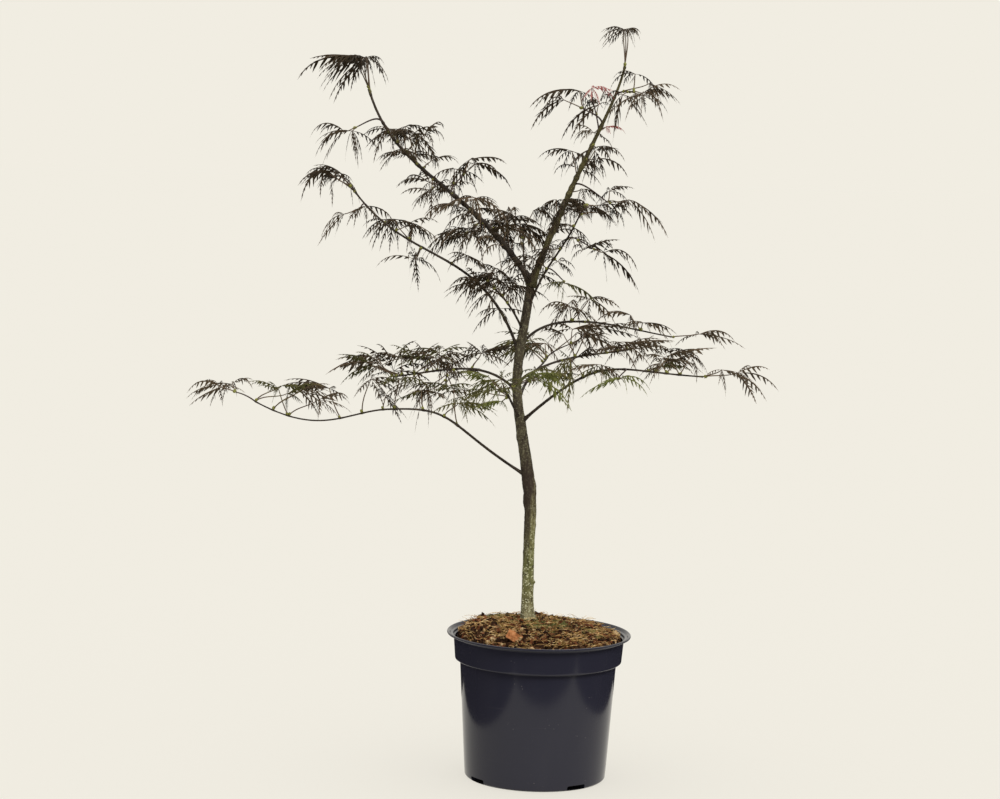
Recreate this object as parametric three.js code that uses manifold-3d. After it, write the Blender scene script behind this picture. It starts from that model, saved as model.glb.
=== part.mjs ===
// A potted Japanese maple of the cut-leaved, weeping kind: a grafted trunk in a round black nursery pot,
// forking into two leaders, with long arching boughs and small, loose masses of finely cut leaves.
// Millimetres, +Z up, +X right, -Y front. The origin is the centre of the pot's flat underside.
import * as THREE from "three";
import { mergeVertices } from "three/addons/utils/BufferGeometryUtils.js";
import Module from "manifold-3d";

const wasm = await Module();
wasm.setup();

// ---------------------------------------------------------------- driving dimensions

const GAP = 0.35; // clearance between neighbouring solids

const POT = {
  height: 151,
  footRadius: 73,
  footRounding: 2.5,
  neckHeight: 121.5, // where the wall steps out into the stacking band
  neckRadius: 80.8,
  bandLowRadius: 86,
  bandHighRadius: 88.3,
  bandRise: 1, // of the step under the band
  lipRadius: 95,
  lipThickness: 3.4,
  lipRounding: 1,
  lipDraft: 0.3, // rise of the lip's underside towards its edge
  mouthBevel: [0.4, 1.5], // across and down, at the inner edge of the lip
  wall: 1.6,
  floor: 3.2,
  sides: 32,
};

const DRAIN = { count: 4, firstAzimuth: -54, width: 22, height: 5, depth: 12, overrun: 2 };

const SOIL = {
  edgeHeight: 146.5, // at the pot's wall
  crownHeight: 164, // round the trunk's foot
  ripple: 1.6, // height of its waves
  waves: { across: 0.11, deep: 0.13, slant: [0.05, 0.19], shift: 1 }, // radians per millimetre
  rings: [0.3, 0.6, 0.85], // where the mound's height is set, as shares of its radius
  seatRadius: 12,
  seatHeight: 40,
  seatSides: 24,
};

// The trunk: height, sideways place, depth and radius, from the flat cut at the soil to the fork.
// It swells at the graft, about 130 mm above the soil, and thins above each whorl of boughs.
const TRUNK = [
  { z: 164, x: -12, y: 0, radius: 8.4 },
  { z: 172, x: -12.5, y: 0, radius: 6.9 },
  { z: 190, x: -13, y: 0, radius: 6.1 },
  { z: 245, x: -13, y: 1, radius: 5.7 },
  { z: 275, x: -12.5, y: 2, radius: 6.2 },
  { z: 298, x: -14, y: 2, radius: 7.1 },
  { z: 330, x: -19, y: 1, radius: 6.2 },
  { z: 385, x: -28.5, y: 0, radius: 5.1 },
  { z: 410, x: -31, y: 0, radius: 4.8 },
  { z: 437, x: -29, y: -1, radius: 4.8 },
  { z: 480, x: -23, y: -1, radius: 4.6 },
  { z: 517, x: -18.5, y: 0, radius: 4.2 },
];
const TRUNK_SIDES = 12;
const TRUNK_STEPS = 16;
const TRUNK_STEP_GROWTH = 1.15; // the steps get longer from the foot to the fork
const FOOT_FLARE = { depth: 0.12, roots: 3, turn: 0.6, height: 10 };

// Each limb is one tapering curve: it leaves the trunk at a height, in one heading, and arrives at its tip in
// another. A heading is [azimuth, elevation] in degrees: azimuth 0 is right, 90 back, 180 left, 270 front.
// Its reach is how far each end keeps its heading, as shares of the straight length. A limb with a foot of
// its own carries on from the limb before it. endsIn is the foliage mass that it runs into.
const LIMBS = [
  { name: "left_leader", height: 512, leave: [166, 56], tip: [-192, 40, 704],
    arrive: [168, 72], reach: [0.47, 0.36], radius: [3.3, 1.3], endsIn: "foliage_left_top" },
  { name: "right_leader", height: 508, leave: [14, 70], tip: [70, 25, 734],
    arrive: [0, 78], reach: [0.6, 0.2], radius: [3.7, 1.3], endsIn: "foliage_right_top" },
  { name: "right_spur", height: 480, leave: [-35, 68], tip: [32, -45, 593],
    arrive: [-40, 62], reach: [0.5, 0.5], radius: [1.5, 0.9], endsIn: "foliage_spur_tip" },
  { name: "left_spur", height: 462, leave: [-125, 52], tip: [-62, -48, 514],
    arrive: [-140, 35], reach: [0.36, 0.36], radius: [1.4, 0.9], endsIn: "foliage_heart_low" },
  { name: "back_spur", height: 500, leave: [105, 40], tip: [-30, 88, 560],
    arrive: [95, 40], reach: [0.36, 0.36], radius: [1.5, 0.9], endsIn: "foliage_back_high" },
  { name: "arching_bough", height: 438, leave: [193, 71], tip: [-200, -56, 605],
    arrive: [192, 54], reach: [0.5, 0.41], radius: [1.8, 1.0], endsIn: "foliage_arch_tip" },
  { name: "low_left_bough", height: 312, leave: [196, 31], tip: [-160, -32, 381],
    arrive: [192, -3], reach: [0.65, 0.45], radius: [1.7, 1.1] },
  { name: "low_left_bough_end", foot: [-160.8, -32.2, 381], leave: [192, -4], tip: [-292, -62, 388],
    arrive: [192, 28], reach: [0.33, 0.57], radius: [1.05, 0.8], endsIn: "foliage_low_left_tip" },
  { name: "mid_left_bough", height: 399, leave: [160, 46], tip: [-160, 60, 406],
    arrive: [158, -8], reach: [0.36, 0.36], radius: [1.7, 0.9], endsIn: "foliage_mid_left_tip" },
  { name: "front_bough", height: 372, leave: [245, 40], tip: [-44, -104, 410],
    arrive: [262, 5], reach: [0.36, 0.36], radius: [1.6, 0.9], endsIn: "foliage_front_left" },
  { name: "back_bough", height: 384, leave: [85, 35], tip: [0, 138, 424],
    arrive: [80, 12], reach: [0.36, 0.36], radius: [1.8, 1.0], endsIn: "foliage_back_left" },
  { name: "low_right_bough", height: 368, leave: [-22, 42], tip: [156, -66, 427],
    arrive: [-18, 0], reach: [0.6, 0.5], radius: [1.8, 0.9], endsIn: "foliage_low_right_tip" },
  { name: "mid_right_bough", height: 408, leave: [20, 40], tip: [84, 52, 442],
    arrive: [26, 8], reach: [0.36, 0.36], radius: [1.6, 0.9], endsIn: "foliage_mid_right_out" },
  { name: "right_shoulder_bough", height: 446, leave: [38, 54], tip: [130, 88, 454],
    arrive: [26, -10], reach: [0.3, 0.36], radius: [1.7, 0.8], endsIn: "foliage_shoulder_tip" },
];
const LIMB_SIDES = 6;
const LIMB_STEPS = 7;

// Each mass of foliage: the limb that carries it, its middle, and half its width, depth and height.
const MASSES = [
  { name: "foliage_left_top", limb: "left_leader", middle: [-214, 40, 717], half: [41, 40, 21] },
  { name: "foliage_left_fall", limb: "left_leader", middle: [-212, 6, 650], half: [36, 32, 24] },
  { name: "foliage_left_shoulder", limb: "left_leader", middle: [-145, 42, 645], half: [29, 42, 33] },
  { name: "foliage_left_hang", limb: "left_leader", middle: [-128, -14, 597], half: [25, 27, 21] },
  { name: "foliage_left_high", limb: "left_leader", middle: [-83, 36, 619], half: [42, 36, 20] },
  { name: "foliage_left_inner", limb: "left_leader", middle: [-88, 16, 581], half: [51, 44, 19] },
  { name: "foliage_left_under", limb: "left_leader", middle: [-93, -8, 547], half: [32, 38, 17] },
  { name: "foliage_heart", limb: "left_leader", middle: [-38, 26, 557], half: [35, 44, 26] },
  { name: "foliage_heart_low", limb: "left_spur", middle: [-60, -50, 500], half: [40, 48, 34] },
  { name: "foliage_arch_tip", limb: "arching_bough", middle: [-221, -60, 602], half: [28, 36, 27] },
  { name: "foliage_arch_fall", limb: "arching_bough", middle: [-192, -82, 571], half: [46, 30, 22] },
  { name: "foliage_arch_top", limb: "arching_bough", middle: [-147, -30, 562], half: [32, 32, 18] },
  { name: "foliage_arch_hang", limb: "arching_bough", middle: [-143, -52, 527], half: [33, 28, 22] },
  { name: "foliage_right_top", limb: "right_leader", middle: [64, 25, 758], half: [18, 20, 16] },
  { name: "foliage_right_out", limb: "right_leader", middle: [88, 4, 694], half: [34, 34, 37] },
  { name: "foliage_right_in", limb: "right_leader", middle: [21, 38, 682], half: [36, 36, 34] },
  { name: "foliage_right_middle", limb: "right_leader", middle: [39, 22, 625], half: [47, 34, 27] },
  { name: "foliage_right_far", limb: "right_leader", middle: [76, 22, 588], half: [34, 30, 28] },
  { name: "foliage_right_inner", limb: "right_leader", middle: [12, 14, 577], half: [25, 36, 24] },
  { name: "foliage_spur_tip", limb: "right_spur", middle: [50, -54, 584], half: [29, 34, 20] },
  { name: "foliage_spur_out", limb: "right_spur", middle: [54, -34, 535], half: [32, 32, 25] },
  { name: "foliage_spur_low", limb: "right_spur", middle: [22, -32, 504], half: [28, 28, 22] },
  { name: "foliage_back_high", limb: "back_spur", middle: [-31, 92, 565], half: [38, 38, 24] },
  { name: "foliage_low_left_tip", limb: "low_left_bough_end", middle: [-320, -70, 399], half: [34, 30, 13] },
  { name: "foliage_low_left", limb: "low_left_bough_end", middle: [-238, -50, 392], half: [60, 34, 18] },
  { name: "foliage_mid_left_tip", limb: "mid_left_bough", middle: [-192, 72, 404], half: [51, 40, 28] },
  { name: "foliage_mid_left", limb: "mid_left_bough", middle: [-122, 72, 421], half: [41, 44, 18] },
  { name: "foliage_mid_root", limb: "mid_left_bough", middle: [-68, 44, 427], half: [33, 36, 16] },
  { name: "foliage_mid_under", limb: "mid_left_bough", middle: [-106, 12, 384], half: [35, 34, 24] },
  { name: "foliage_front_hang", limb: "front_bough", middle: [-62, -46, 390], half: [22, 32, 35] },
  { name: "foliage_front_left", limb: "front_bough", middle: [-54, -118, 409], half: [30, 44, 20] },
  { name: "foliage_front_right", limb: "front_bough", middle: [-8, -96, 414], half: [27, 42, 19] },
  { name: "foliage_back_left", limb: "back_bough", middle: [-24, 150, 425], half: [40, 50, 27] },
  { name: "foliage_back_right", limb: "back_bough", middle: [45, 148, 438], half: [33, 48, 23] },
  { name: "foliage_shoulder_root", limb: "right_shoulder_bough", middle: [32, 42, 480], half: [36, 38, 19] },
  { name: "foliage_shoulder", limb: "right_shoulder_bough", middle: [94, 76, 463], half: [40, 40, 17] },
  { name: "foliage_shoulder_tip", limb: "right_shoulder_bough", middle: [162, 96, 450], half: [44, 36, 12] },
  { name: "foliage_mid_right", limb: "mid_right_bough", middle: [22, 30, 446], half: [31, 38, 21] },
  { name: "foliage_mid_right_out", limb: "mid_right_bough", middle: [88, 50, 440], half: [43, 42, 18] },
  { name: "foliage_low_right", limb: "low_right_bough", middle: [38, -42, 419], half: [39, 40, 25] },
  { name: "foliage_low_right_under", limb: "low_right_bough", middle: [66, -76, 408], half: [32, 28, 20] },
  { name: "foliage_low_right_out", limb: "low_right_bough", middle: [128, -38, 433], half: [30, 34, 19] },
  { name: "foliage_low_right_tip", limb: "low_right_bough", middle: [186, -76, 426], half: [36, 32, 15] },
];
const MASS_FINENESS = 2; // subdivisions of the octahedron that each mass starts from
const MASS_UNEVEN = 0.2; // depth of a mass's hollows, as a share of its radius
const MASS_WAVES = { around: [[3, 0.6], [5, 0.4]], upwards: [4, 0.5] }; // each a count and a share
const MASS_DROOP = 0.75; // how far a mass's rim hangs below its crown, as a share of its height
const STALK = { rootRadius: 1.1, tipRadius: 0.8, sides: 4, places: 40, clearOfRoot: 3, clearOfTip: 2 };

// ---------------------------------------------------------------- materials

const finish = (color, roughness) => new THREE.MeshStandardMaterial({ color, roughness, metalness: 0 });
const MATERIALS = {
  pot: finish(0x23222a, 0.35),
  soil: finish(0x4a3423, 0.95),
  bark: finish(0x565244, 0.8),
  twig: finish(0x3d332c, 0.75),
  foliage: finish(0x3a2a27, 0.7),
};

// ---------------------------------------------------------------- solids

// A closed geometry as a solid that can be joined and cut.
function toSolid(geometry) {
  const bare = new THREE.BufferGeometry();
  bare.setAttribute("position", geometry.getAttribute("position"));
  bare.setIndex(geometry.getIndex());
  const merged = mergeVertices(bare, 1e-3);
  return new wasm.Manifold(
    new wasm.Mesh({
      numProp: 3,
      vertProperties: new Float32Array(merged.attributes.position.array),
      triVerts: new Uint32Array(merged.index.array),
    }),
  );
}

// A solid back as a geometry.
function toGeometry(solid) {
  const { vertProperties, triVerts } = solid.getMesh();
  const geometry = new THREE.BufferGeometry();
  geometry.setAttribute("position", new THREE.BufferAttribute(new Float32Array(vertProperties), 3));
  geometry.setIndex(new THREE.BufferAttribute(new Uint32Array(triVerts), 1));
  geometry.computeVertexNormals();
  return geometry;
}

// The largest separate piece of a solid that cutting may have left in several.
function largestPiece(solid) {
  return solid.decompose().reduce((best, piece) => (piece.volume() > best.volume() ? piece : best));
}

// True where the boxes round two solids meet.
function boxesMeet(a, b) {
  const p = a.boundingBox();
  const q = b.boundingBox();
  return [0, 1, 2].every((i) => p.min[i] < q.max[i] && q.min[i] < p.max[i]);
}

// A solid less every one of the others that it could touch.
function cutBy(solid, others) {
  const near = others.filter((other) => boxesMeet(solid, other));
  return near.reduce((left, other) => left.subtract(other), solid);
}

function meshOf(name, solid, material) {
  const mesh = new THREE.Mesh(toGeometry(solid), material);
  mesh.name = name;
  return mesh;
}

// ---------------------------------------------------------------- pot and soil

// A profile of [radius, height] pairs turned round +Z.
function turned(profile, sides) {
  const points = profile.map(([radius, height]) => new THREE.Vector2(radius, height));
  return new THREE.LatheGeometry(points, sides).rotateX(Math.PI / 2);
}

function innerRadius(height) {
  if (height > POT.neckHeight) {
    const share = (height - POT.neckHeight) / (POT.height - POT.neckHeight);
    return THREE.MathUtils.lerp(POT.bandLowRadius, POT.bandHighRadius, share) - POT.wall;
  }
  return THREE.MathUtils.lerp(POT.footRadius, POT.neckRadius, height / POT.neckHeight) - POT.wall;
}

function makePot() {
  const p = POT;
  const lipUnder = p.height - p.lipThickness;
  const stepInside = p.neckHeight + p.wall;
  const [bevelAcross, bevelDown] = p.mouthBevel;
  const shell = toSolid(
    turned(
      [
        [0, 0],
        [p.footRadius - p.footRounding, 0],
        [p.footRadius, p.footRounding],
        [p.neckRadius, p.neckHeight],
        [p.bandLowRadius, p.neckHeight + p.bandRise],
        [p.bandHighRadius, lipUnder],
        [p.lipRadius - p.lipRounding, lipUnder + p.lipDraft],
        [p.lipRadius, lipUnder + p.lipThickness / 2],
        [p.lipRadius - p.lipRounding, p.height],
        [p.bandHighRadius - bevelAcross, p.height],
        [innerRadius(p.height), p.height - bevelDown],
        [innerRadius(stepInside + p.bandRise), stepInside + p.bandRise],
        [innerRadius(p.neckHeight), stepInside],
        [innerRadius(p.floor), p.floor],
        [0, p.floor],
      ],
      p.sides,
    ),
  );
  const drains = Array.from({ length: DRAIN.count }, (_, i) => {
    const azimuth = THREE.MathUtils.degToRad(DRAIN.firstAzimuth + (i * 360) / DRAIN.count);
    const radius = p.footRadius - DRAIN.depth / 2 + DRAIN.overrun;
    return toSolid(
      new THREE.BoxGeometry(DRAIN.depth + 2 * DRAIN.overrun, DRAIN.width, 2 * DRAIN.height)
        .rotateZ(azimuth)
        .translate(radius * Math.cos(azimuth), radius * Math.sin(azimuth), 0),
    );
  });
  return cutBy(shell, drains);
}

// The compost fills the pot and rises in an uneven mound to the trunk's foot.
function makeSoil() {
  const bottom = POT.floor + GAP;
  const foot = TRUNK[0];
  const edge = innerRadius(SOIL.edgeHeight) - GAP;
  const neck = innerRadius(POT.neckHeight) - GAP;
  const { across, deep, slant, shift } = SOIL.waves;
  const inner = SOIL.edgeHeight + 1; // above the edge, so that only these rings are raised
  const geometry = turned(
    [
      [0, bottom],
      [innerRadius(bottom) - GAP, bottom],
      [neck, POT.neckHeight + POT.wall],
      [edge, SOIL.edgeHeight],
      ...SOIL.rings.toReversed().map((share) => [edge * share, inner]),
      [0, inner],
    ],
    POT.sides,
  );
  const place = geometry.getAttribute("position");
  for (let i = 0; i < place.count; i++) {
    if (place.getZ(i) <= SOIL.edgeHeight) continue;
    const [x, y] = [place.getX(i), place.getY(i)];
    const away = Math.hypot(x - foot.x, y - foot.y) / (edge + Math.hypot(foot.x, foot.y));
    const mound = (SOIL.crownHeight - SOIL.edgeHeight) * Math.cos((Math.min(away, 1) * Math.PI) / 2);
    const bumps =
      Math.sin(x * across + shift) * Math.cos(y * deep) + Math.sin(x * slant[0] - y * slant[1]);
    place.setZ(i, SOIL.edgeHeight + mound + SOIL.ripple * bumps * Math.min(1, 2 * away));
  }
  const seat = toSolid(
    new THREE.CylinderGeometry(SOIL.seatRadius, SOIL.seatRadius, SOIL.seatHeight, SOIL.seatSides)
      .rotateX(Math.PI / 2)
      .translate(foot.x, foot.y, foot.z - GAP + SOIL.seatHeight / 2),
  );
  return toSolid(geometry).subtract(seat);
}

// ---------------------------------------------------------------- trunk and limbs

// The unit vector of a heading [azimuth, elevation] in degrees.
function heading([azimuth, elevation]) {
  const [a, e] = [azimuth, elevation].map(THREE.MathUtils.degToRad);
  return new THREE.Vector3(Math.cos(a) * Math.cos(e), Math.sin(a) * Math.cos(e), Math.sin(e));
}

// A closed round rod bent along a curve, with its radius given by the share of the way along it.
function bentRod(curve, radiusAt, sides, steps, grow = 0) {
  const rod = new THREE.CylinderGeometry(1, 1, 1, sides, steps);
  const frames = curve.computeFrenetFrames(steps);
  const place = rod.getAttribute("position");
  for (let i = 0; i < place.count; i++) {
    const step = Math.round((place.getY(i) + 0.5) * steps);
    const share = step / steps;
    const radius = radiusAt(share) + grow;
    const point = curve
      .getPointAt(share)
      .addScaledVector(frames.normals[step], radius * place.getX(i))
      .addScaledVector(frames.binormals[step], -radius * place.getZ(i));
    if (grow && step === steps) point.addScaledVector(frames.tangents[step], grow);
    place.setXYZ(i, point.x, point.y, point.z);
  }
  return toSolid(rod);
}

// The trunk's axis point and radius at a height.
function trunkAt(height) {
  const above = Math.max(1, TRUNK.findIndex((station) => station.z >= height));
  const [low, high] = [TRUNK[above - 1], TRUNK[above]];
  const share = (height - low.z) / (high.z - low.z);
  const mix = (key) => THREE.MathUtils.lerp(low[key], high[key], share);
  return { point: new THREE.Vector3(mix("x"), mix("y"), height), radius: mix("radius") };
}

// The trunk stands upright on its flat cut, so its rings are level.
function makeTrunk(grow = 0) {
  const rod = new THREE.CylinderGeometry(1, 1, 1, TRUNK_SIDES, TRUNK_STEPS);
  const place = rod.getAttribute("position");
  const [foot, top] = [TRUNK[0].z, TRUNK.at(-1).z];
  for (let i = 0; i < place.count; i++) {
    const share = Math.pow(place.getY(i) + 0.5, TRUNK_STEP_GROWTH);
    const height = THREE.MathUtils.lerp(foot, top, share);
    const { point, radius } = trunkAt(height);
    const angle = Math.atan2(place.getZ(i), place.getX(i));
    const nearFoot = Math.max(0, 1 - (height - foot) / FOOT_FLARE.height);
    const flare = 1 + FOOT_FLARE.depth * Math.sin(FOOT_FLARE.roots * angle + FOOT_FLARE.turn) * nearFoot;
    const reach = Math.hypot(place.getX(i), place.getZ(i)) * (radius * flare + grow);
    place.setXYZ(i, point.x + reach * Math.cos(angle), point.y - reach * Math.sin(angle), point.z);
  }
  return toSolid(rod);
}

// A limb's axis, from its own foot or from the trunk's axis at its height, to its tip.
function limbCurve({ height, foot, leave, tip, arrive, reach }) {
  const start = foot ? new THREE.Vector3(...foot) : trunkAt(height).point;
  const end = new THREE.Vector3(...tip);
  const [out, back] = reach.map((share) => share * start.distanceTo(end));
  return new THREE.CubicBezierCurve3(
    start,
    start.clone().addScaledVector(heading(leave), out),
    end.clone().addScaledVector(heading(arrive), -back),
    end,
  );
}

function makeLimb(limb, grow = 0) {
  const [root, tip] = limb.radius;
  return bentRod(limb.curve, (share) => THREE.MathUtils.lerp(root, tip, share), LIMB_SIDES, LIMB_STEPS, grow);
}

// ---------------------------------------------------------------- foliage masses

// A repeatable number from 0 to 1 for a mass and a use.
function chance(index, use) {
  const value = Math.sin(index * 127.1 + use * 311.7) * 43758.5453;
  return value - Math.floor(value);
}

// An uneven, domed mass whose rim hangs below its crown, scaled to fill its stated box.
function makeMass({ middle, half }, index, grow = 0) {
  const bare = new THREE.BufferGeometry();
  bare.setAttribute("position", new THREE.OctahedronGeometry(1, MASS_FINENESS).getAttribute("position"));
  const mass = mergeVertices(bare, 1e-4);
  const place = mass.getAttribute("position");
  const turns = [0, 1, 2].map((use) => chance(index, use) * 2 * Math.PI);
  for (let i = 0; i < place.count; i++) {
    const way = new THREE.Vector3().fromBufferAttribute(place, i).normalize();
    const azimuth = Math.atan2(way.y, way.x);
    const level = Math.hypot(way.x, way.y);
    const wave = ([count, share], angle, turn) => share * Math.sin(count * angle + turn);
    const [broad, fine] = MASS_WAVES.around.map((kind, k) => wave(kind, azimuth, turns[k]));
    const swell = 1 + MASS_UNEVEN * ((broad + fine) * level + wave(MASS_WAVES.upwards, way.z, turns[2]));
    way.multiplyScalar(swell);
    way.z -= MASS_DROOP * (way.x * way.x + way.y * way.y);
    place.setXYZ(i, way.x, way.y, way.z);
  }
  mass.computeBoundingBox();
  const { min, max } = mass.boundingBox;
  const scale = new THREE.Vector3(...half).multiplyScalar(2).divide(max.clone().sub(min));
  mass.translate(-(min.x + max.x) / 2, -(min.y + max.y) / 2, -(min.z + max.z) / 2);
  mass.scale(...scale).translate(...middle);
  if (grow) {
    mass.computeVertexNormals();
    const out = mass.getAttribute("normal");
    for (let i = 0; i < place.count; i++) {
      place.setXYZ(
        i,
        place.getX(i) + grow * out.getX(i),
        place.getY(i) + grow * out.getY(i),
        place.getZ(i) + grow * out.getZ(i),
      );
    }
  }
  return toSolid(mass);
}

// The point on a limb nearest to a mass's middle, clear of the limb's two ends.
function nearestOn(curve, middle) {
  const points = curve.getSpacedPoints(STALK.places).slice(STALK.clearOfRoot, -STALK.clearOfTip);
  return points.reduce((best, point) => (point.distanceTo(middle) < best.distanceTo(middle) ? point : best));
}

// The short stalk that joins a mass to its limb, or to the limb's tip where the limb ends in the mass.
function makeStalk(mass, limb, grow = 0) {
  const middle = new THREE.Vector3(...mass.middle);
  const root = limb.endsIn === mass.name ? limb.curve.getPoint(1) : nearestOn(limb.curve, middle);
  const line = new THREE.LineCurve3(root, middle);
  const radiusAt = (share) => THREE.MathUtils.lerp(STALK.rootRadius, STALK.tipRadius, share);
  return bentRod(line, radiusAt, STALK.sides, 1, grow);
}

// ---------------------------------------------------------------- assembly

const limbs = LIMBS.map((limb) => ({ ...limb, curve: limbCurve(limb) }));
const limbNamed = new Map(limbs.map((limb) => [limb.name, limb]));
const thickTrunk = makeTrunk(GAP);
const thickLimbs = new Map(limbs.map((limb) => [limb.name, makeLimb(limb, GAP)]));
const thickMasses = MASSES.map((mass, i) => makeMass(mass, i, GAP));
const thickStalks = MASSES.map((mass) => makeStalk(mass, limbNamed.get(mass.limb), GAP));

// A limb cut to butt against the trunk, the limbs before it and the mass that it ends in.
function finishedLimb(limb, i) {
  const earlier = limbs.slice(0, i).map((other) => thickLimbs.get(other.name));
  const end = MASSES.findIndex((mass) => mass.name === limb.endsIn);
  const beyond = end < 0 ? [] : [thickMasses[end], thickStalks[end]];
  return largestPiece(cutBy(makeLimb(limb), [thickTrunk, ...earlier, ...beyond]));
}

// A mass on its stalk, cut round the trunk, the limbs, the masses before it and the other stalks.
function finishedMass(mass, i) {
  const passing = limbs.filter((limb) => limb.endsIn !== mass.name).map((limb) => thickLimbs.get(limb.name));
  const otherStalks = thickStalks.filter((_, k) => k !== i);
  const body = cutBy(makeMass(mass, i), [...thickMasses.slice(0, i), ...otherStalks]);
  const stalk = cutBy(makeStalk(mass, limbNamed.get(mass.limb)), thickStalks.slice(0, i));
  return largestPiece(cutBy(body.add(stalk), [thickTrunk, ...passing]));
}

const plant = new THREE.Group();
plant.add(meshOf("pot", makePot(), MATERIALS.pot));
plant.add(meshOf("soil", makeSoil(), MATERIALS.soil));
plant.add(meshOf("trunk", makeTrunk(), MATERIALS.bark));
limbs.forEach((limb, i) => plant.add(meshOf(limb.name, finishedLimb(limb, i), MATERIALS.twig)));
MASSES.forEach((mass, i) => plant.add(meshOf(mass.name, finishedMass(mass, i), MATERIALS.foliage)));

export default plant;
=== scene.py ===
"""A young weeping cut-leaved maple in a black nursery pot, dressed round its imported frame.

Sizes are in millimetres, as they are in the frame's own source. A mesh is turned into metres as it is made.
Headings are pairs of degrees: an azimuth, with 0 right, 90 back, 180 left and 270 front, and an elevation.
"""

import logging
import math
from dataclasses import dataclass, field
from enum import Enum
from typing import Optional, Sequence, Union

import bmesh
import bpy
import numpy as np
from mathutils import Matrix, Vector, noise
from mathutils.bvhtree import BVHTree


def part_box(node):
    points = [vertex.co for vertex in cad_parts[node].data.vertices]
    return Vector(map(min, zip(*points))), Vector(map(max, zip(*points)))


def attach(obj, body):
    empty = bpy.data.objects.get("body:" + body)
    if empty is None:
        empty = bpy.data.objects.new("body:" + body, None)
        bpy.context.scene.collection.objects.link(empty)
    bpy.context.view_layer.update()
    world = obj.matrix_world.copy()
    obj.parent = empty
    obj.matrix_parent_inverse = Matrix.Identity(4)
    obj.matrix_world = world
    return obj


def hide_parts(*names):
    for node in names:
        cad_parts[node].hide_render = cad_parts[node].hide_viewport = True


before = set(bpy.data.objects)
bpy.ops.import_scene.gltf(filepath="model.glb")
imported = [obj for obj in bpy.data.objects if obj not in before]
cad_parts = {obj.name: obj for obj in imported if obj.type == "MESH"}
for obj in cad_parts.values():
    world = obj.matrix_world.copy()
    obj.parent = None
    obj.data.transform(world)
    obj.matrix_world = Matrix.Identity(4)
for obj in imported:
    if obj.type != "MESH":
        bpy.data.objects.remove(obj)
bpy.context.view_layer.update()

MM = 0.001
BODY = "root"
SEED = 2207
LOG = logging.getLogger("maple")

Array = np.ndarray
Colour = tuple[float, float, float]
Triple = tuple[float, float, float]
Pair = tuple[float, float]
Four = tuple[float, float, float, float]

UP = np.array([0.0, 0.0, 1.0])
LEVEL = np.array([1.0, 1.0, 0.0])
MERGE = 0.01  # points this near are one


# ---------------------------------------------------------------- shader tools


class Signal:
    """A number or colour that comes out of a node, with arithmetic that adds Math nodes."""

    def __init__(self, tree: bpy.types.NodeTree, socket: bpy.types.NodeSocket) -> None:
        """Wraps one output socket.

        Args:
            tree: The tree that it's in.
            socket: The socket.
        """
        self.tree = tree
        self.socket = socket

    def _math(self, operation: str, *terms: "Union[Signal, float]") -> "Signal":
        """Adds one Math node.

        Args:
            operation: The node's operation.
            terms: Its inputs, in order, as signals or numbers.

        Returns:
            The node's result.
        """
        node = self.tree.nodes.new("ShaderNodeMath")
        node.operation = operation
        for place, term in zip(node.inputs, terms):
            if isinstance(term, Signal):
                self.tree.links.new(term.socket, place)
            else:
                place.default_value = term
        return Signal(self.tree, node.outputs[0])

    def __add__(self, other: "Union[Signal, float]") -> "Signal":
        """The sum."""
        return self._math("ADD", self, other)

    def __sub__(self, other: "Union[Signal, float]") -> "Signal":
        """The difference."""
        return self._math("SUBTRACT", self, other)

    def __rsub__(self, other: float) -> "Signal":
        """The difference from a number."""
        return self._math("SUBTRACT", other, self)

    def __mul__(self, other: "Union[Signal, float]") -> "Signal":
        """The product."""
        return self._math("MULTIPLY", self, other)

    __radd__ = __add__
    __rmul__ = __mul__

    def band(self, low: float, high: float) -> "Signal":
        """Turns a span of the signal into a smooth step.

        Args:
            low: Where the result is 0, and beyond.
            high: Where it is 1, and beyond. It may be less than low.

        Returns:
            The result.
        """
        node = self.tree.nodes.new("ShaderNodeMapRange")
        node.interpolation_type = "SMOOTHSTEP"
        self.tree.links.new(self.socket, node.inputs["Value"])
        node.inputs["From Min"].default_value = min(low, high)
        node.inputs["From Max"].default_value = max(low, high)
        node.inputs["To Min"].default_value = float(low > high)
        node.inputs["To Max"].default_value = float(low <= high)
        return Signal(self.tree, node.outputs["Result"])


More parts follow.
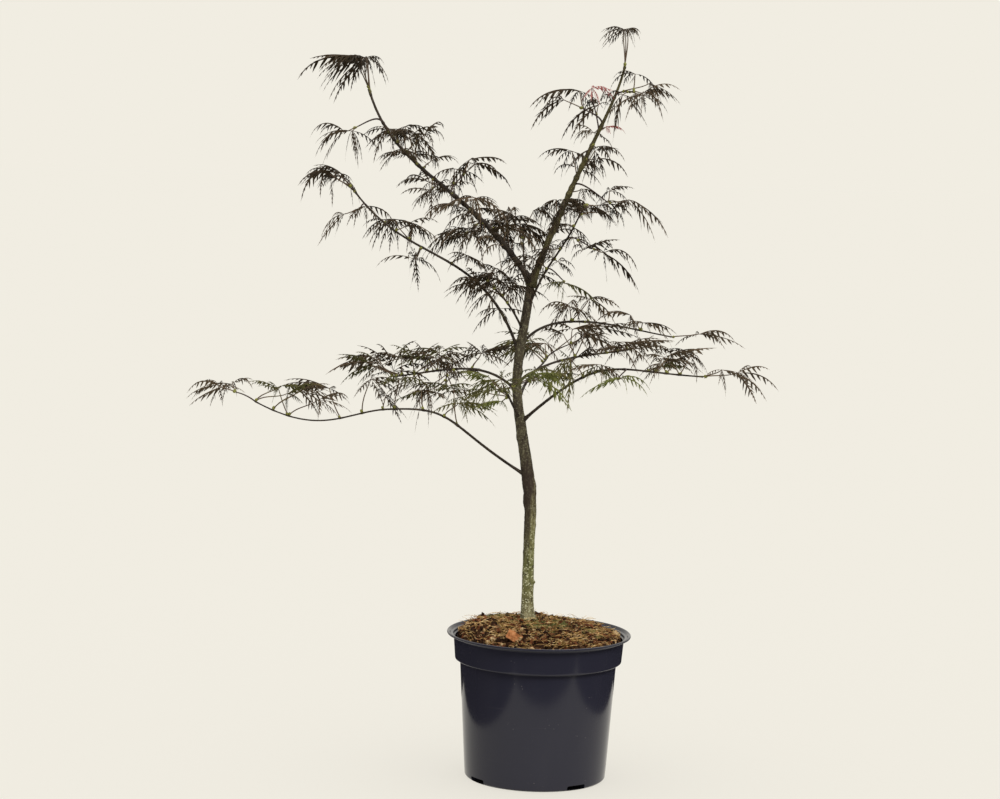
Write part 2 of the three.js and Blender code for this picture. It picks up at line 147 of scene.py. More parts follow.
class Surface:
    """One material's nodes, which end in a Principled shader."""

    def __init__(self, name: str) -> None:
        """Starts a material of that name."""
        self.material = bpy.data.materials.new(name)
        self.material.use_nodes = True
        self.tree = self.material.node_tree
        self.shader = self.tree.nodes["Principled BSDF"]

    def add(self, kind: str, settings: dict, inputs: dict) -> bpy.types.Node:
        """Adds any node.

        Args:
            kind: The node's type.
            settings: Its properties, and for a ramp its stops as pairs of a place and a colour.
            inputs: Its sockets by name or number, each a Signal or a plain value.

        Returns:
            The new node.
        """
        node = self.tree.nodes.new(kind)
        for key, value in settings.items():
            if key == "stops":
                self._fill_ramp(node.color_ramp, value)
            else:
                setattr(node, key, value)
        for key, value in inputs.items():
            if isinstance(value, Signal):
                self.tree.links.new(value.socket, node.inputs[key])
            else:
                node.inputs[key].default_value = value
        return node

    @staticmethod
    def _fill_ramp(ramp: bpy.types.ColorRamp, stops: Sequence[tuple[float, Colour]]) -> None:
        """Gives a ramp its stops.

        Args:
            ramp: The ramp, which has two stops when it is new.
            stops: Each stop's place and colour.
        """
        while len(ramp.elements) < len(stops):
            ramp.elements.new(1.0)
        for element, (place, colour) in zip(ramp.elements, stops):
            element.position = place
            element.color = (*colour, 1.0)

    def out(self, node: bpy.types.Node, name: Union[str, int] = 0) -> Signal:
        """One of a node's outputs."""
        return Signal(self.tree, node.outputs[name])

    def place(self, stretch: Triple = (1.0, 1.0, 1.0), turn: float = 0.0) -> Signal:
        """The point in the piece's own frame, in metres.

        Args:
            stretch: How far it is stretched along each axis.
            turn: How far it is turned about Z, in radians.

        Returns:
            The point.
        """
        point = self.add("ShaderNodeTexCoord", {}, {})
        settings = {"vector_type": "POINT"}
        inputs = {"Vector": self.out(point, "Object"), "Scale": stretch, "Rotation": (0.0, 0.0, turn)}
        return self.out(self.add("ShaderNodeMapping", settings, inputs))

    def height(self) -> Signal:
        """The height in the piece's own frame, in metres."""
        parts = self.add("ShaderNodeSeparateXYZ", {}, {"Vector": self.place()})
        return self.out(parts, "Z")

    def map_place(self) -> tuple[Signal, Signal]:
        """The two coordinates of the piece's own UV map: along and across."""
        point = self.add("ShaderNodeTexCoord", {}, {})
        parts = self.add("ShaderNodeSeparateXYZ", {}, {"Vector": self.out(point, "UV")})
        return self.out(parts, "X"), self.out(parts, "Y")

    def noise(self, where: Signal, scale: float, detail: float = 3.0, roughness: float = 0.55) -> Signal:
        """Cloudy noise from 0 to 1, with scale patches to the metre."""
        inputs = {"Vector": where, "Scale": scale, "Detail": detail, "Roughness": roughness}
        return self.out(self.add("ShaderNodeTexNoise", {}, inputs), "Fac")

    def spots(self, where: Signal, scale: float) -> Signal:
        """The distance to the nearest of many scattered points, in cells."""
        inputs = {"Vector": where, "Scale": scale}
        return self.out(self.add("ShaderNodeTexVoronoi", {"feature": "F1"}, inputs), "Distance")

    def ramp(self, value: Signal, *stops: tuple[float, Colour]) -> Signal:
        """A colour that runs through the stops as the value rises."""
        return self.out(self.add("ShaderNodeValToRGB", {"stops": stops}, {"Fac": value}), "Color")

    def mix(self, share: Signal, first: Union[Signal, Colour], second: Union[Signal, Colour]) -> Signal:
        """A colour between two others.

        Args:
            share: How much of the second there is, from 0 to 1.
            first: The first colour.
            second: The second.

        Returns:
            The mixed colour.
        """
        colours = [c if isinstance(c, Signal) else (*c, 1.0) for c in (first, second)]
        settings = {"data_type": "RGBA"}
        return self.out(self.add("ShaderNodeMix", settings, {0: share, 6: colours[0], 7: colours[1]}), 2)

    def finish(self, colour: Signal, roughness: Signal, relief: Signal, depth: float,
               **constants: float) -> bpy.types.Material:
        """Joins the signals to the shader.

        Args:
            colour: The base colour.
            roughness: The roughness.
            relief: The height of the fine relief, from 0 to 1.
            depth: The relief's depth in millimetres.
            constants: Other sockets of the shader that are even all over, with _ for a space.

        Returns:
            The material.
        """
        inputs = {"Height": relief, "Distance": depth * MM, "Strength": 1.0}
        bump = self.add("ShaderNodeBump", {}, inputs)
        self.tree.links.new(colour.socket, self.shader.inputs["Base Color"])
        self.tree.links.new(roughness.socket, self.shader.inputs["Roughness"])
        self.tree.links.new(bump.outputs[0], self.shader.inputs["Normal"])
        for key, value in constants.items():
            self.shader.inputs[key.replace("_", " ")].default_value = value
        return self.material


# ---------------------------------------------------------------- finishes


@dataclass(frozen=True)
class PotPlastic:
    """Thin moulded black plastic: satin, with faint flow marks, scuffs and dust."""

    deep: Colour = (0.0145, 0.0145, 0.0235)
    worn: Colour = (0.021, 0.0205, 0.030)
    dust: Colour = (0.13, 0.115, 0.11)
    gloss: float = 0.10
    shine: float = 0.32
    relief: float = 0.05
    flow_stretch: Triple = (1.0, 1.0, 0.35)
    scuff_stretch: Triple = (1.0, 1.0, 16.0)
    lane_stretch: Triple = (9.0, 9.0, 1.0)
    scuff_band: Pair = (0.62, 0.74)
    lane_band: Pair = (0.66, 0.76)
    grit_size: Pair = (0.16, 0.05)
    grit_band: Pair = (0.55, 0.68)

    def make(self) -> bpy.types.Material:
        """The material."""
        s = Surface("pot_plastic")
        flow = s.noise(s.place(self.flow_stretch), 26.0)
        scuffs = s.noise(s.place(self.scuff_stretch, 0.4), 34.0, 4.0).band(*self.scuff_band)
        lanes = s.noise(s.place(self.lane_stretch, 1.1), 30.0, 4.0).band(*self.lane_band)
        grit = s.spots(s.place(), 260.0).band(*self.grit_size)
        grit = grit * s.noise(s.place(), 45.0).band(*self.grit_band)
        wear = scuffs * 0.5 + lanes * 0.35 + flow.band(0.45, 0.8) * 0.25
        colour = s.mix(grit * 0.55, s.mix(wear, self.deep, self.worn), self.dust)
        rough = self.gloss + flow * 0.04 + scuffs * 0.10 + lanes * 0.07 + grit * 0.3
        peel = s.noise(s.place(), 900.0, 2.0) * 0.25 + flow * 0.75
        return s.finish(colour, rough, peel, self.relief, Specular_IOR_Level=self.shine)


@dataclass(frozen=True)
class TrunkBark:
    """Young smooth bark: grey-green stock below the graft, brown and darker above it, dotted with pores."""

    foot: float = 164.0
    fork: float = 517.0
    stained: Colour = (0.185, 0.160, 0.088)
    stock: Colour = (0.118, 0.108, 0.044)
    algae: Colour = (0.102, 0.106, 0.034)
    graft: Colour = (0.046, 0.034, 0.019)
    scion: Colour = (0.050, 0.041, 0.025)
    young: Colour = (0.034, 0.025, 0.017)
    pores: Colour = (0.470, 0.465, 0.300)
    pale: Colour = (0.320, 0.305, 0.185)
    cracks: Colour = (0.020, 0.014, 0.012)
    # painted shade: this colour, and the fields below that place it, darken the trunk's left side from about
    # 200 to 340 mm up
    painted_shade: Colour = (0.026, 0.017, 0.013)
    painted_shade_side: Pair = (-11.0, -14.5)
    painted_shade_span: Four = (200.0, 268.0, 312.0, 340.0)
    painted_shade_lean: float = 0.03
    painted_shade_foot: float = 0.25
    heights: tuple[float, ...] = (0.0, 0.07, 0.16, 0.28, 0.37, 0.50, 0.80, 1.0)
    blotch_stretch: Triple = (1.0, 1.0, 0.4)
    grain_stretch: Triple = (1.0, 1.0, 0.16)
    mottle_stretch: Triple = (1.0, 1.0, 0.45)
    cloud_stretch: Triple = (1.0, 1.0, 0.6)
    pore_stretch: Triple = (1.0, 1.0, 1.5)
    pore_size: Pair = (0.42, 0.22)
    pore_band: Pair = (0.34, 0.46)
    pore_fade: Pair = (0.36, 0.10)
    shine: float = 0.12
    relief: float = 0.9

    def make(self) -> bpy.types.Material:
        """The material."""
        s = Surface("trunk_bark")
        rise = (s.height() + -self.foot * MM) * (1.0 / ((self.fork - self.foot) * MM))
        blotch = s.noise(s.place(self.blotch_stretch), 120.0, 4.0)
        stock, scion = self.stock, self.scion
        tones = (self.stained, stock, self.algae, stock, self.graft, scion, scion, self.young)
        along = s.ramp(rise + blotch * 0.08 + -0.04, *zip(self.heights, tones))
        grain = s.noise(s.place(self.grain_stretch), 700.0, 5.0, 0.6)
        mottle = s.noise(s.place(self.mottle_stretch), 330.0, 5.0, 0.65)
        clouds = s.noise(s.place(self.cloud_stretch, 0.7), 95.0, 3.0)
        low = rise.band(0.46, 0.30)
        pore = s.spots(s.place(self.pore_stretch), 350.0).band(*self.pore_size)
        pore = pore * s.noise(s.place(), 190.0).band(*self.pore_band)
        pore = pore * (rise.band(*self.pore_fade) * 0.85 + 0.15)
        # the mask of the shade painted down the trunk's left side
        painted_shade = self.painted_shade_mask(s, clouds)
        base = s.mix(mottle.band(0.50, 0.68) * (low * 0.4 + 0.25), along, self.pale)
        base = s.mix(mottle.band(0.47, 0.33) * 0.80, base, self.cracks)
        base = s.mix(clouds.band(0.58, 0.72) * 0.45, base, self.cracks)
        # paints the shade on the trunk's left side, and dims the pores there
        base = s.mix(painted_shade * 0.85, base, self.painted_shade)
        base = s.mix(grain.band(0.56, 0.66) * 0.65, base, self.cracks)
        colour = s.mix(pore * (painted_shade * -0.75 + 0.95), base, self.pores)
        relief = mottle * 0.5 - grain * 0.45 + pore * 0.5 + 0.4
        return s.finish(colour, 0.62 + grain * 0.25, relief, self.relief, Specular_IOR_Level=self.shine)

    def painted_shade_mask(self, s: Surface, edge: Signal) -> Signal:
        """Where shade is painted dark down the trunk's left side, around the graft.

        Args:
            s: The bark's surface.
            edge: Noise that makes the painted shade's side ragged.

        Returns:
            1 inside the painted shade and 0 outside it.
        """
        parts = s.add("ShaderNodeSeparateXYZ", {}, {"Vector": s.place()})
        lean = (s.height() + -self.painted_shade_foot) * self.painted_shade_lean
        ragged = s.out(parts, "X") + edge * 0.005 + -0.0025 - lean
        span = [h * MM for h in self.painted_shade_span]
        side = ragged.band(self.painted_shade_side[0] * MM, self.painted_shade_side[1] * MM)
        return side * s.height().band(span[0], span[1]) * s.height().band(span[3], span[2])


@dataclass(frozen=True)
class TwigBark:
    """Thin bark of boughs and twigs, smooth, with small pale pores and faint green patches."""

    name: str
    deep: Colour
    light: Colour
    pores: Colour
    patches: Colour = (0.150, 0.140, 0.050)
    shine: float = 0.15
    relief: float = 0.35

    def make(self) -> bpy.types.Material:
        """The material."""
        s = Surface(self.name)
        cloud = s.noise(s.place(), 70.0, 3.0)
        green = s.noise(s.place(), 38.0, 2.0).band(0.60, 0.70)
        grain = s.noise(s.place(), 800.0, 4.0, 0.65)
        pore = s.spots(s.place(), 420.0).band(0.22, 0.10) * cloud.band(0.40, 0.52)
        colour = s.mix(cloud.band(0.35, 0.65) * 0.45 + grain.band(0.4, 0.7) * 0.55, self.deep, self.light)
        colour = s.mix(green * grain.band(0.35, 0.6) * 0.55, colour, self.patches)
        colour = s.mix(pore * 0.6, colour, self.pores)
        height = grain * 0.7 + pore * 0.3
        return s.finish(colour, 0.50 + grain * 0.3, height, self.relief, Specular_IOR_Level=self.shine)


@dataclass(frozen=True)
class LeafSkin:
    """A cut leaf's blade: matt, veined, with a paler midrib and a tone that drifts from spray to spray."""

    blade: Colour
    shade: Colour
    rib: Colour
    shine: float = 0.11
    relief: float = 0.15

    def make(self) -> bpy.types.Material:
        """The material."""
        s = Surface("leaf_skin")
        along, across = s.map_place()
        off = across + -0.5
        rib = (off * off).band(0.0030, 0.0002)
        veins = s.noise(s.place(), 1500.0, 2.0)
        drift = s.noise(s.place(), 16.0, 2.0).band(0.35, 0.68)
        tip = along.band(0.45, 1.0)
        tone = s.mix(drift * 0.65 + tip * 0.25 + veins * 0.15, self.blade, self.shade)
        colour = s.mix(rib * 0.5, tone, self.rib)
        height = veins * 0.5 + rib * 0.5
        return s.finish(colour, 0.55 + veins * 0.2, height, self.relief, Specular_IOR_Level=self.shine)


@dataclass(frozen=True)
class Litter:
    """Loose plant matter, whose tone changes every few millimetres."""

    name: str
    dark: Colour
    middle: Colour
    light: Colour
    patch: float = 170.0
    roughness: float = 0.78
    shine: float = 0.05
    relief: float = 0.6

    def make(self) -> bpy.types.Material:
        """The material."""
        s = Surface(self.name)
        cloud = s.noise(s.place(), self.patch, 4.0, 0.7)
        crumb = s.noise(s.place(), 1100.0, 4.0, 0.7)
        tone = cloud * 0.8 + crumb * 0.2
        colour = s.ramp(tone, (0.36, self.dark), (0.50, self.middle), (0.64, self.light))
        rough = self.roughness + crumb * 0.18
        return s.finish(colour, rough, crumb, self.relief, Specular_IOR_Level=self.shine)


@dataclass(frozen=True)
class Dull:
    """A flat finish for the stage, with no shine, which can glow."""

    name: str
    dark: Colour
    light: Colour
    patch: float
    drift: float = 0.05
    glow: float = 0.0
    glow_tone: Colour = (0.0, 0.0, 0.0)
    roughness: float = 0.9
    relief: float = 0.01

    def make(self) -> bpy.types.Material:
        """The material."""
        s = Surface(self.name)
        cloud = s.noise(s.place(), self.patch, 2.0)
        colour = s.mix(cloud, self.dark, self.light)
        if self.glow:
            s.shader.inputs["Emission Color"].default_value = (*self.glow_tone, 1.0)
            s.shader.inputs["Emission Strength"].default_value = self.glow
        rough = self.roughness + cloud * self.drift
        return s.finish(colour, rough, cloud, self.relief, Specular_IOR_Level=0.0)


LITTER = {
    "peat": ((0.004, 0.002, 0.001), (0.026, 0.011, 0.005), (0.100, 0.050, 0.022)),
    "peat_dark": ((0.004, 0.002, 0.001), (0.014, 0.006, 0.003), (0.050, 0.023, 0.012)),
    "peat_red": ((0.034, 0.011, 0.004), (0.100, 0.034, 0.014), (0.210, 0.080, 0.036)),
    "peat_tan": ((0.100, 0.052, 0.020), (0.270, 0.165, 0.072), (0.560, 0.430, 0.260)),
    "straw": ((0.100, 0.054, 0.016), (0.360, 0.220, 0.075), (0.720, 0.560, 0.300)),
    "bark_shred": ((0.022, 0.009, 0.004), (0.120, 0.048, 0.021), (0.330, 0.160, 0.075)),
    "moss": ((0.028, 0.032, 0.010), (0.105, 0.110, 0.036), (0.230, 0.220, 0.085)),
    "chip": ((0.150, 0.055, 0.020), (0.340, 0.140, 0.055), (0.480, 0.240, 0.110), 160.0),
}  # dark, middle and light tone, and the scale of the patches where it isn't the usual one

BARKS = {
    "bough_bark": ((0.013, 0.009, 0.006), (0.051, 0.037, 0.025), (0.190, 0.152, 0.105)),
    "fresh_bark": ((0.026, 0.021, 0.009), (0.104, 0.090, 0.034), (0.250, 0.225, 0.115)),
    "twig_bark": ((0.030, 0.019, 0.017), (0.062, 0.042, 0.035), (0.180, 0.140, 0.110)),
    "stalk_skin": ((0.060, 0.038, 0.026), (0.120, 0.082, 0.048), (0.200, 0.150, 0.095)),
    "bud_scales": ((0.090, 0.085, 0.020), (0.230, 0.240, 0.060), (0.330, 0.340, 0.140)),
}  # deep and light tone, and pores


def bark(name: str) -> bpy.types.Material:
    """One of the thin barks."""
    return TwigBark(name, *BARKS[name]).make()


# ---------------------------------------------------------------- mesh tools


@dataclass(frozen=True)
class Template:
    """A small shape as arrays, to be stamped many times."""

    points: Array
    faces: tuple[tuple[int, ...], ...]

    @classmethod
    def of(cls, shape: bmesh.types.BMesh) -> "Template":
        """Takes the arrays from a bmesh, and frees it."""
        shape.verts.index_update()
        points = np.array([v.co for v in shape.verts], float)
        faces = tuple(tuple(v.index for v in f.verts) for f in shape.faces)
        shape.free()
        return cls(points, faces)


class Batch:
    """Many small shapes joined in one mesh, gathered as arrays."""

    def __init__(self) -> None:
        """Starts with nothing in it."""
        self.points: list[Array] = []
        self.corners: list[Array] = []
        self.sides: list[Array] = []
        self.maps: list[Array] = []
        self.count = 0

    def stamp(self, template: Template, points: Array, uv: Optional[Array] = None) -> None:
        """Adds copies of a template.

        Args:
            template: The shape whose faces each copy has.
            points: The places of its points in every copy, as (copies, points, 3).
            uv: The map place of each of its points, as (points, 2).
        """
        copies, size = points.shape[:2]
        loop = np.concatenate([np.array(f) for f in template.faces])
        offsets = self.count + size * np.arange(copies)
        self.points.append(points.reshape(-1, 3))
        self.corners.append((offsets[:, None] + loop[None, :]).ravel())
        self.sides.append(np.tile([len(f) for f in template.faces], copies))
        if uv is not None:
            self.maps.append(np.tile(uv[loop], (copies, 1)))
        self.count += copies * size

    def piece(self, name: str, material: bpy.types.Material, smooth: bool = True) -> bpy.types.Object:
        """The joined mesh as one piece.

        Args:
            name: The piece's name.
            material: Its finish.
            smooth: Whether its faces are shaded smooth.

        Returns:
            The new object, in metres.
        """
        points, corners, sides = (np.concatenate(a) for a in (self.points, self.corners, self.sides))
        mesh = bpy.data.meshes.new(name)
        mesh.vertices.add(len(points))
        mesh.vertices.foreach_set("co", (points * MM).astype(np.float32).ravel())
        mesh.loops.add(len(corners))
        mesh.loops.foreach_set("vertex_index", corners.astype(np.int32))
        mesh.polygons.add(len(sides))
        mesh.polygons.foreach_set("loop_start", (np.cumsum(sides) - sides).astype(np.int32))
        if self.maps:
            layer = mesh.uv_layers.new(name="leaf")
            layer.data.foreach_set("uv", np.concatenate(self.maps).astype(np.float32).ravel())
        mesh.update(calc_edges=True)
        mesh.validate()
        mesh.polygons.foreach_set("use_smooth", np.full(len(mesh.polygons), smooth))
        return new_piece(name, mesh, material)


def new_piece(name: str, mesh: bpy.types.Mesh, material: bpy.types.Material) -> bpy.types.Object:
    """Links a mesh to the scene.

    Args:
        name: The object's name.
        mesh: The mesh.
        material: Its one material.

    Returns:
        The new object.
    """
    mesh.materials.append(material)
    piece = bpy.data.objects.new(name, mesh)
    bpy.context.scene.collection.objects.link(piece)
    return piece


def shape_piece(
    name: str, shape: bmesh.types.BMesh, material: bpy.types.Material, smooth: bool = True
) -> bpy.types.Object:
    """Turns a bmesh in millimetres into a piece in metres, and frees it.

    Args:
        name: The piece's name.
        shape: The bmesh.
        material: The piece's finish.
        smooth: Whether its faces are shaded smooth.

    Returns:
        The new object.
    """
    bmesh.ops.scale(shape, verts=shape.verts, vec=(MM, MM, MM))
    for face in shape.faces:
        face.smooth = smooth
    mesh = bpy.data.meshes.new(name)
    shape.to_mesh(mesh)
    shape.free()
    return new_piece(name, mesh, material)


def joined_piece(
    name: str, finish: bpy.types.Material, slot: str, template: Template, points: Array, smooth: bool = False
) -> None:
    """Makes many copies of a small shape into one settled piece.

    Args:
        name: The piece's name.
        finish: Its material.
        slot: Its material slot.
        template: The small shape.
        points: The places of its points in every copy.
        smooth: Whether its faces are shaded smooth.
    """
    batch = Batch()
    batch.stamp(template, points)
    settle(batch.piece(name, finish, smooth), slot)


def turned(outline: Sequence[Pair], turns: int) -> bmesh.types.BMesh:
    """Turns an outline round Z.

    Args:
        outline: Radii and heights, from one point on Z to another.
        turns: How many sides the shape has.

    Returns:
        The closed shape, with its poles merged.
    """
    shape = bmesh.new()
    points = [shape.verts.new((r, 0.0, h)) for r, h in outline]
    edges = [shape.edges.new(pair) for pair in zip(points, points[1:])]
    bmesh.ops.spin(
        shape, geom=points + edges, cent=(0, 0, 0), axis=(0, 0, 1), angle=math.tau,
        steps=turns, use_merge=True,
    )
    bmesh.ops.remove_doubles(shape, verts=shape.verts, dist=MERGE)
    return shape


def lay_skin(shape: bmesh.types.BMesh, skin: Array, out: Array, lift: Array) -> None:
    """Moves a shape's points onto a skin and turns its faces outwards.

    Args:
        shape: The shape.
        skin: The place on the skin of each of its points.
        out: The outward way at each place.
        lift: How far each point stands out from the skin.
    """
    for vert, place, way, rise in zip(shape.verts, skin, out, lift):
        vert.co = place + way * rise
    bmesh.ops.recalc_face_normals(shape, faces=shape.faces)


def unit_rod(sides: int, steps: int) -> bmesh.types.BMesh:
    """A closed upright rod of radius 1, from 0 to 1 along Z, cut into even rings.

    Args:
        sides: How many sides it has.
        steps: How many rings it is cut into.

    Returns:
        The rod.
    """
    shape = bmesh.new()
    bmesh.ops.create_cone(shape, cap_ends=True, segments=sides, radius1=1.0, radius2=1.0, depth=1.0)
    upright = [e for e in shape.edges if abs(e.verts[0].co.z - e.verts[1].co.z) > 0.5]
    bmesh.ops.subdivide_edges(shape, edges=upright, cuts=steps - 1, use_grid_fill=True)
    bmesh.ops.translate(shape, verts=shape.verts, vec=(0.0, 0.0, 0.5))
    return shape


def unit(vectors: Array) -> Array:
    """Many vectors at length 1."""
    return vectors / np.maximum(np.linalg.norm(vectors, axis=-1, keepdims=True), 1e-9)


def heading(azimuth: float, elevation: float) -> Array:
    """The unit vector of a heading in degrees."""
    a, e = math.radians(azimuth), math.radians(elevation)
    return np.array([math.cos(a) * math.cos(e), math.sin(a) * math.cos(e), math.sin(e)])


def curve_at(control: Array, share: Array) -> tuple[Array, Array]:
    """Points and directions on cubic curves.

    Args:
        control: The curves' control points, as (curves, 4, 3).
        share: The shares of the way along, as (places,).

    Returns:
        The points and the unit directions, each as (curves, places, 3).
    """
    s, r = share, 1.0 - share
    point = np.stack([r**3, 3 * s * r**2, 3 * s**2 * r, s**3], axis=1)
    slope = np.stack([-(r**2), r**2 - 2 * s * r, 2 * s * r - s**2, s**2], axis=1)
    return np.einsum("pk,ckx->cpx", point, control), unit(np.einsum("pk,ckx->cpx", slope, control))


def tubes(control: Array, radii: Array, sides: int, steps: int) -> tuple[Template, Array]:
    """Thin tapering tubes along cubic curves.

    Args:
        control: The curves' control points, as (curves, 4, 3).
        radii: Each tube's radius at its foot and at its tip, as (curves, 2).
        sides: How many sides each tube has.
        steps: How many rings each tube is cut into.

    Returns:
        The tube's template and the places of its points in every tube.
    """
    template = Template.of(unit_rod(sides, steps))
    x, y, share = template.points.T
    point, way = curve_at(control, share)
    chord = unit(control[:, 3] - control[:, 0])
    upright = np.abs(chord[:, 2:]) > 0.8
    reference = np.where(upright, [[1.0, 0.2, 0.0]], UP[None])
    side = unit(np.cross(way, reference[:, None, :]))
    normal = np.cross(side, way)
    radius = (radii[:, :1] * (1 - share) + radii[:, 1:] * share)[..., None]
    return template, point + radius * (side * x[:, None] + normal * y[:, None])


def turned_frames(way: Array) -> tuple[Array, Array]:
    """Side and normal vectors along one curve that turn as little as they can.

    Args:
        way: The curve's directions, as (places, 3).

    Returns:
        The side and the normal at each place.
    """
    sides = np.empty_like(way)
    reference = np.array([0.0, 1.0, 0.0]) if abs(way[0][1]) < 0.8 else np.array([1.0, 0.0, 0.0])
    for i, direction in enumerate(way):
        reference = unit(reference - direction * np.dot(reference, direction))
        sides[i] = reference
    return sides, np.cross(sides, way)


def rough(points: Array, scale: float, shift: float = 0.0) -> Array:
    """Smooth noise from -1 to 1 at each point, with scale waves to the millimetre."""
    return np.array([noise.noise(Vector(p) * scale + Vector((shift, shift, shift))) for p in points])


# ---------------------------------------------------------------- pot


@dataclass
class Pot:
    """The round nursery pot: a thin turned shell with a stacking band, a rolled lip and drain notches."""

    height: float = 151.0
    foot: float = 73.0
    neck: float = 80.8
    neck_height: float = 121.5
    band_low: float = 86.0
    band_high: float = 88.3
    lip: float = 95.0
    lip_depth: float = 2.5
    wall: float = 1.6
    floor: float = 3.2
    recess: float = 1.2
    recess_radius: float = 60.0
    drains: int = 4
    first_drain: float = -54.0
    drain_size: Triple = (16.0, 22.0, 10.0)
    drain_radius: float = 69.0
    drain_rounding: float = 1.6
    foot_round: float = 2.5
    band_round: float = 1.1
    lip_round: float = 1.25
    wall_cuts: tuple[float, ...] = (12.0, 40.0, 70.0, 100.0, 116.0, 120.5, 121.1)
    turns: int = 160

    def profile(self) -> list[Pair]:
        """The shell's outline as radius and height, from the middle of its underside round to its floor."""
        parts = (self.foot_part(), self.band_part(), self.lip_part(), self.inner_part())
        return [(0.0, self.recess), *(point for part in parts for point in part)]

    def foot_part(self) -> list[Pair]:
        """The recess under the floor, the foot and the wall up to the band."""
        inset = self.foot - self.foot_round
        part = [(self.recess_radius, self.recess), (self.recess_radius + 2.0, 0.15)]
        part += [(self.recess_radius + 3.0, 0.0), (inset, 0.0)]
        part += self.arc((inset, self.foot_round), self.foot_round, -70.0, 0.0, 4)
        return part + [(self.wall_at(h), h) for h in self.wall_cuts]

    def band_part(self) -> list[Pair]:
        """The step out from the neck, and the stacking band above it."""
        step, under, low, high = self.neck_height, self.height - self.lip_depth, self.band_low, self.band_high
        part = [(self.neck + 0.06, step), (self.neck + 0.5, step + 0.55)]
        part += [(low - self.band_round, step + 0.75)]
        part += self.arc((low - 1.0, step + 1.9), self.band_round, -70.0, 0.0, 3)
        part += [(low + 0.2, step + 2.9), (low + 0.25, step + 3.6)]
        part += [(high - 0.75, under - 8.0), (high - 0.18, under - 1.8), (high - 0.10, under - 1.0)]
        return part + [(high + 0.5, under - 0.25), (high + 1.6, under), (high + 2.6, under)]

    def lip_part(self) -> list[Pair]:
        """The rolled lip."""
        lip, top = self.lip, self.height
        part = self.arc((lip - self.lip_round, top - self.lip_round), self.lip_round, -90.0, 110.0, 10)
        part += [(lip - 2.4, top - 0.7), (lip - 3.2, top - 1.7), (lip - 4.9, top - 3.6)]
        return part + [(self.band_high - 1.5, top - 6.0)]

    def inner_part(self) -> list[Pair]:
        """The inside, down to the middle of the floor."""
        step = self.neck_height + self.wall
        band, neck, foot = (radius - self.wall for radius in (self.band_low, self.neck, self.foot))
        part = [(band + 0.1, step + 1.5), (band - 0.8, step + 0.4)]
        part += [(neck + 0.6, step - 0.2), (neck, step - 1.2)]
        return part + [(foot + 0.3, self.floor + 1.5), (foot - 1.5, self.floor), (0.0, self.floor)]

    def wall_at(self, height: float) -> float:
        """The outer radius of the wall below the band."""
        return self.foot + (self.neck - self.foot) * height / self.neck_height

    @staticmethod
    def arc(middle: Pair, radius: float, start: float, end: float, steps: int) -> list[Pair]:
        """Points on an arc.

        Args:
            middle: The arc's middle.
            radius: Its radius.
            start: The angle that it starts at, in degrees.
            end: The angle that it ends at.
            steps: How many parts it is cut into.

        Returns:
            The points, in order.
        """
        angles = [math.radians(start + (end - start) * i / steps) for i in range(steps + 1)]
        return [(middle[0] + radius * math.cos(a), middle[1] + radius * math.sin(a)) for a in angles]

    def shell(self) -> bmesh.types.BMesh:
        """The outline turned round Z."""
        shape = turned(self.profile(), self.turns)
        bmesh.ops.recalc_face_normals(shape, faces=shape.faces)
        return shape

    def notches(self) -> bmesh.types.BMesh:
        """The blocks that cut the drain notches, with rounded edges."""
        shape = bmesh.new()
        for i in range(self.drains):
            turn = Matrix.Rotation(math.radians(self.first_drain + 360.0 * i / self.drains), 4, "Z")
            block = bmesh.ops.create_cube(shape, size=1.0)["verts"]
            bmesh.ops.scale(shape, verts=block, vec=self.drain_size)
            bmesh.ops.translate(shape, verts=block, vec=(self.drain_radius, 0, 0))
            bmesh.ops.rotate(shape, verts=block, cent=(0, 0, 0), matrix=turn)
        bmesh.ops.bevel(
            shape, geom=shape.edges[:], offset=self.drain_rounding, affect="EDGES", segments=3,
            profile=0.5, material=-1,
        )
        return shape

    def build(self, finish: bpy.types.Material) -> None:
        """Makes the pot, in place of its CAD node.

        Args:
            finish: Its material.
        """
        pot = shape_piece("nursery_pot", self.shell(), finish)
        cutter = shape_piece("drain_cutter", self.notches(), finish)
        cut = pot.modifiers.new("drains", "BOOLEAN")
        cut.operation, cut.solver, cut.object = "DIFFERENCE", "EXACT", cutter
        cut_mesh = bpy.data.meshes.new_from_object(pot.evaluated_get(bpy.context.evaluated_depsgraph_get()))
        pot.modifiers.clear()
        pot.data = cut_mesh
        bpy.data.objects.remove(cutter)
        sharpen(pot)
        settle(pot, "pot_plastic", "pot")


def sharpen(piece: bpy.types.Object, angle: float = 38.0) -> None:
    """Keeps a smooth piece's real corners sharp.

    Args:
        piece: The piece.
        angle: The least angle in degrees that counts as a corner.
    """
    shape = bmesh.new()
    shape.from_mesh(piece.data)
    for edge in shape.edges:
        if len(edge.link_faces) == 2 and edge.calc_face_angle() > math.radians(angle):
            edge.smooth = False
    shape.to_mesh(piece.data)
    shape.free()


def settle(piece: bpy.types.Object, slot: str, *nodes: str) -> None:
    """Ties a piece to the body.

    Args:
        piece: The piece.
        slot: Its material slot, which is not used.
        nodes: The CAD nodes that it stands for.
    """
    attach(piece, BODY)
    if nodes:
        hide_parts(*nodes)
    stands_for = ", ".join(nodes) or "none"
    LOG.info("%s: %d faces, stands for %s", piece.name, len(piece.data.polygons), stands_for)


# ---------------------------------------------------------------- compost


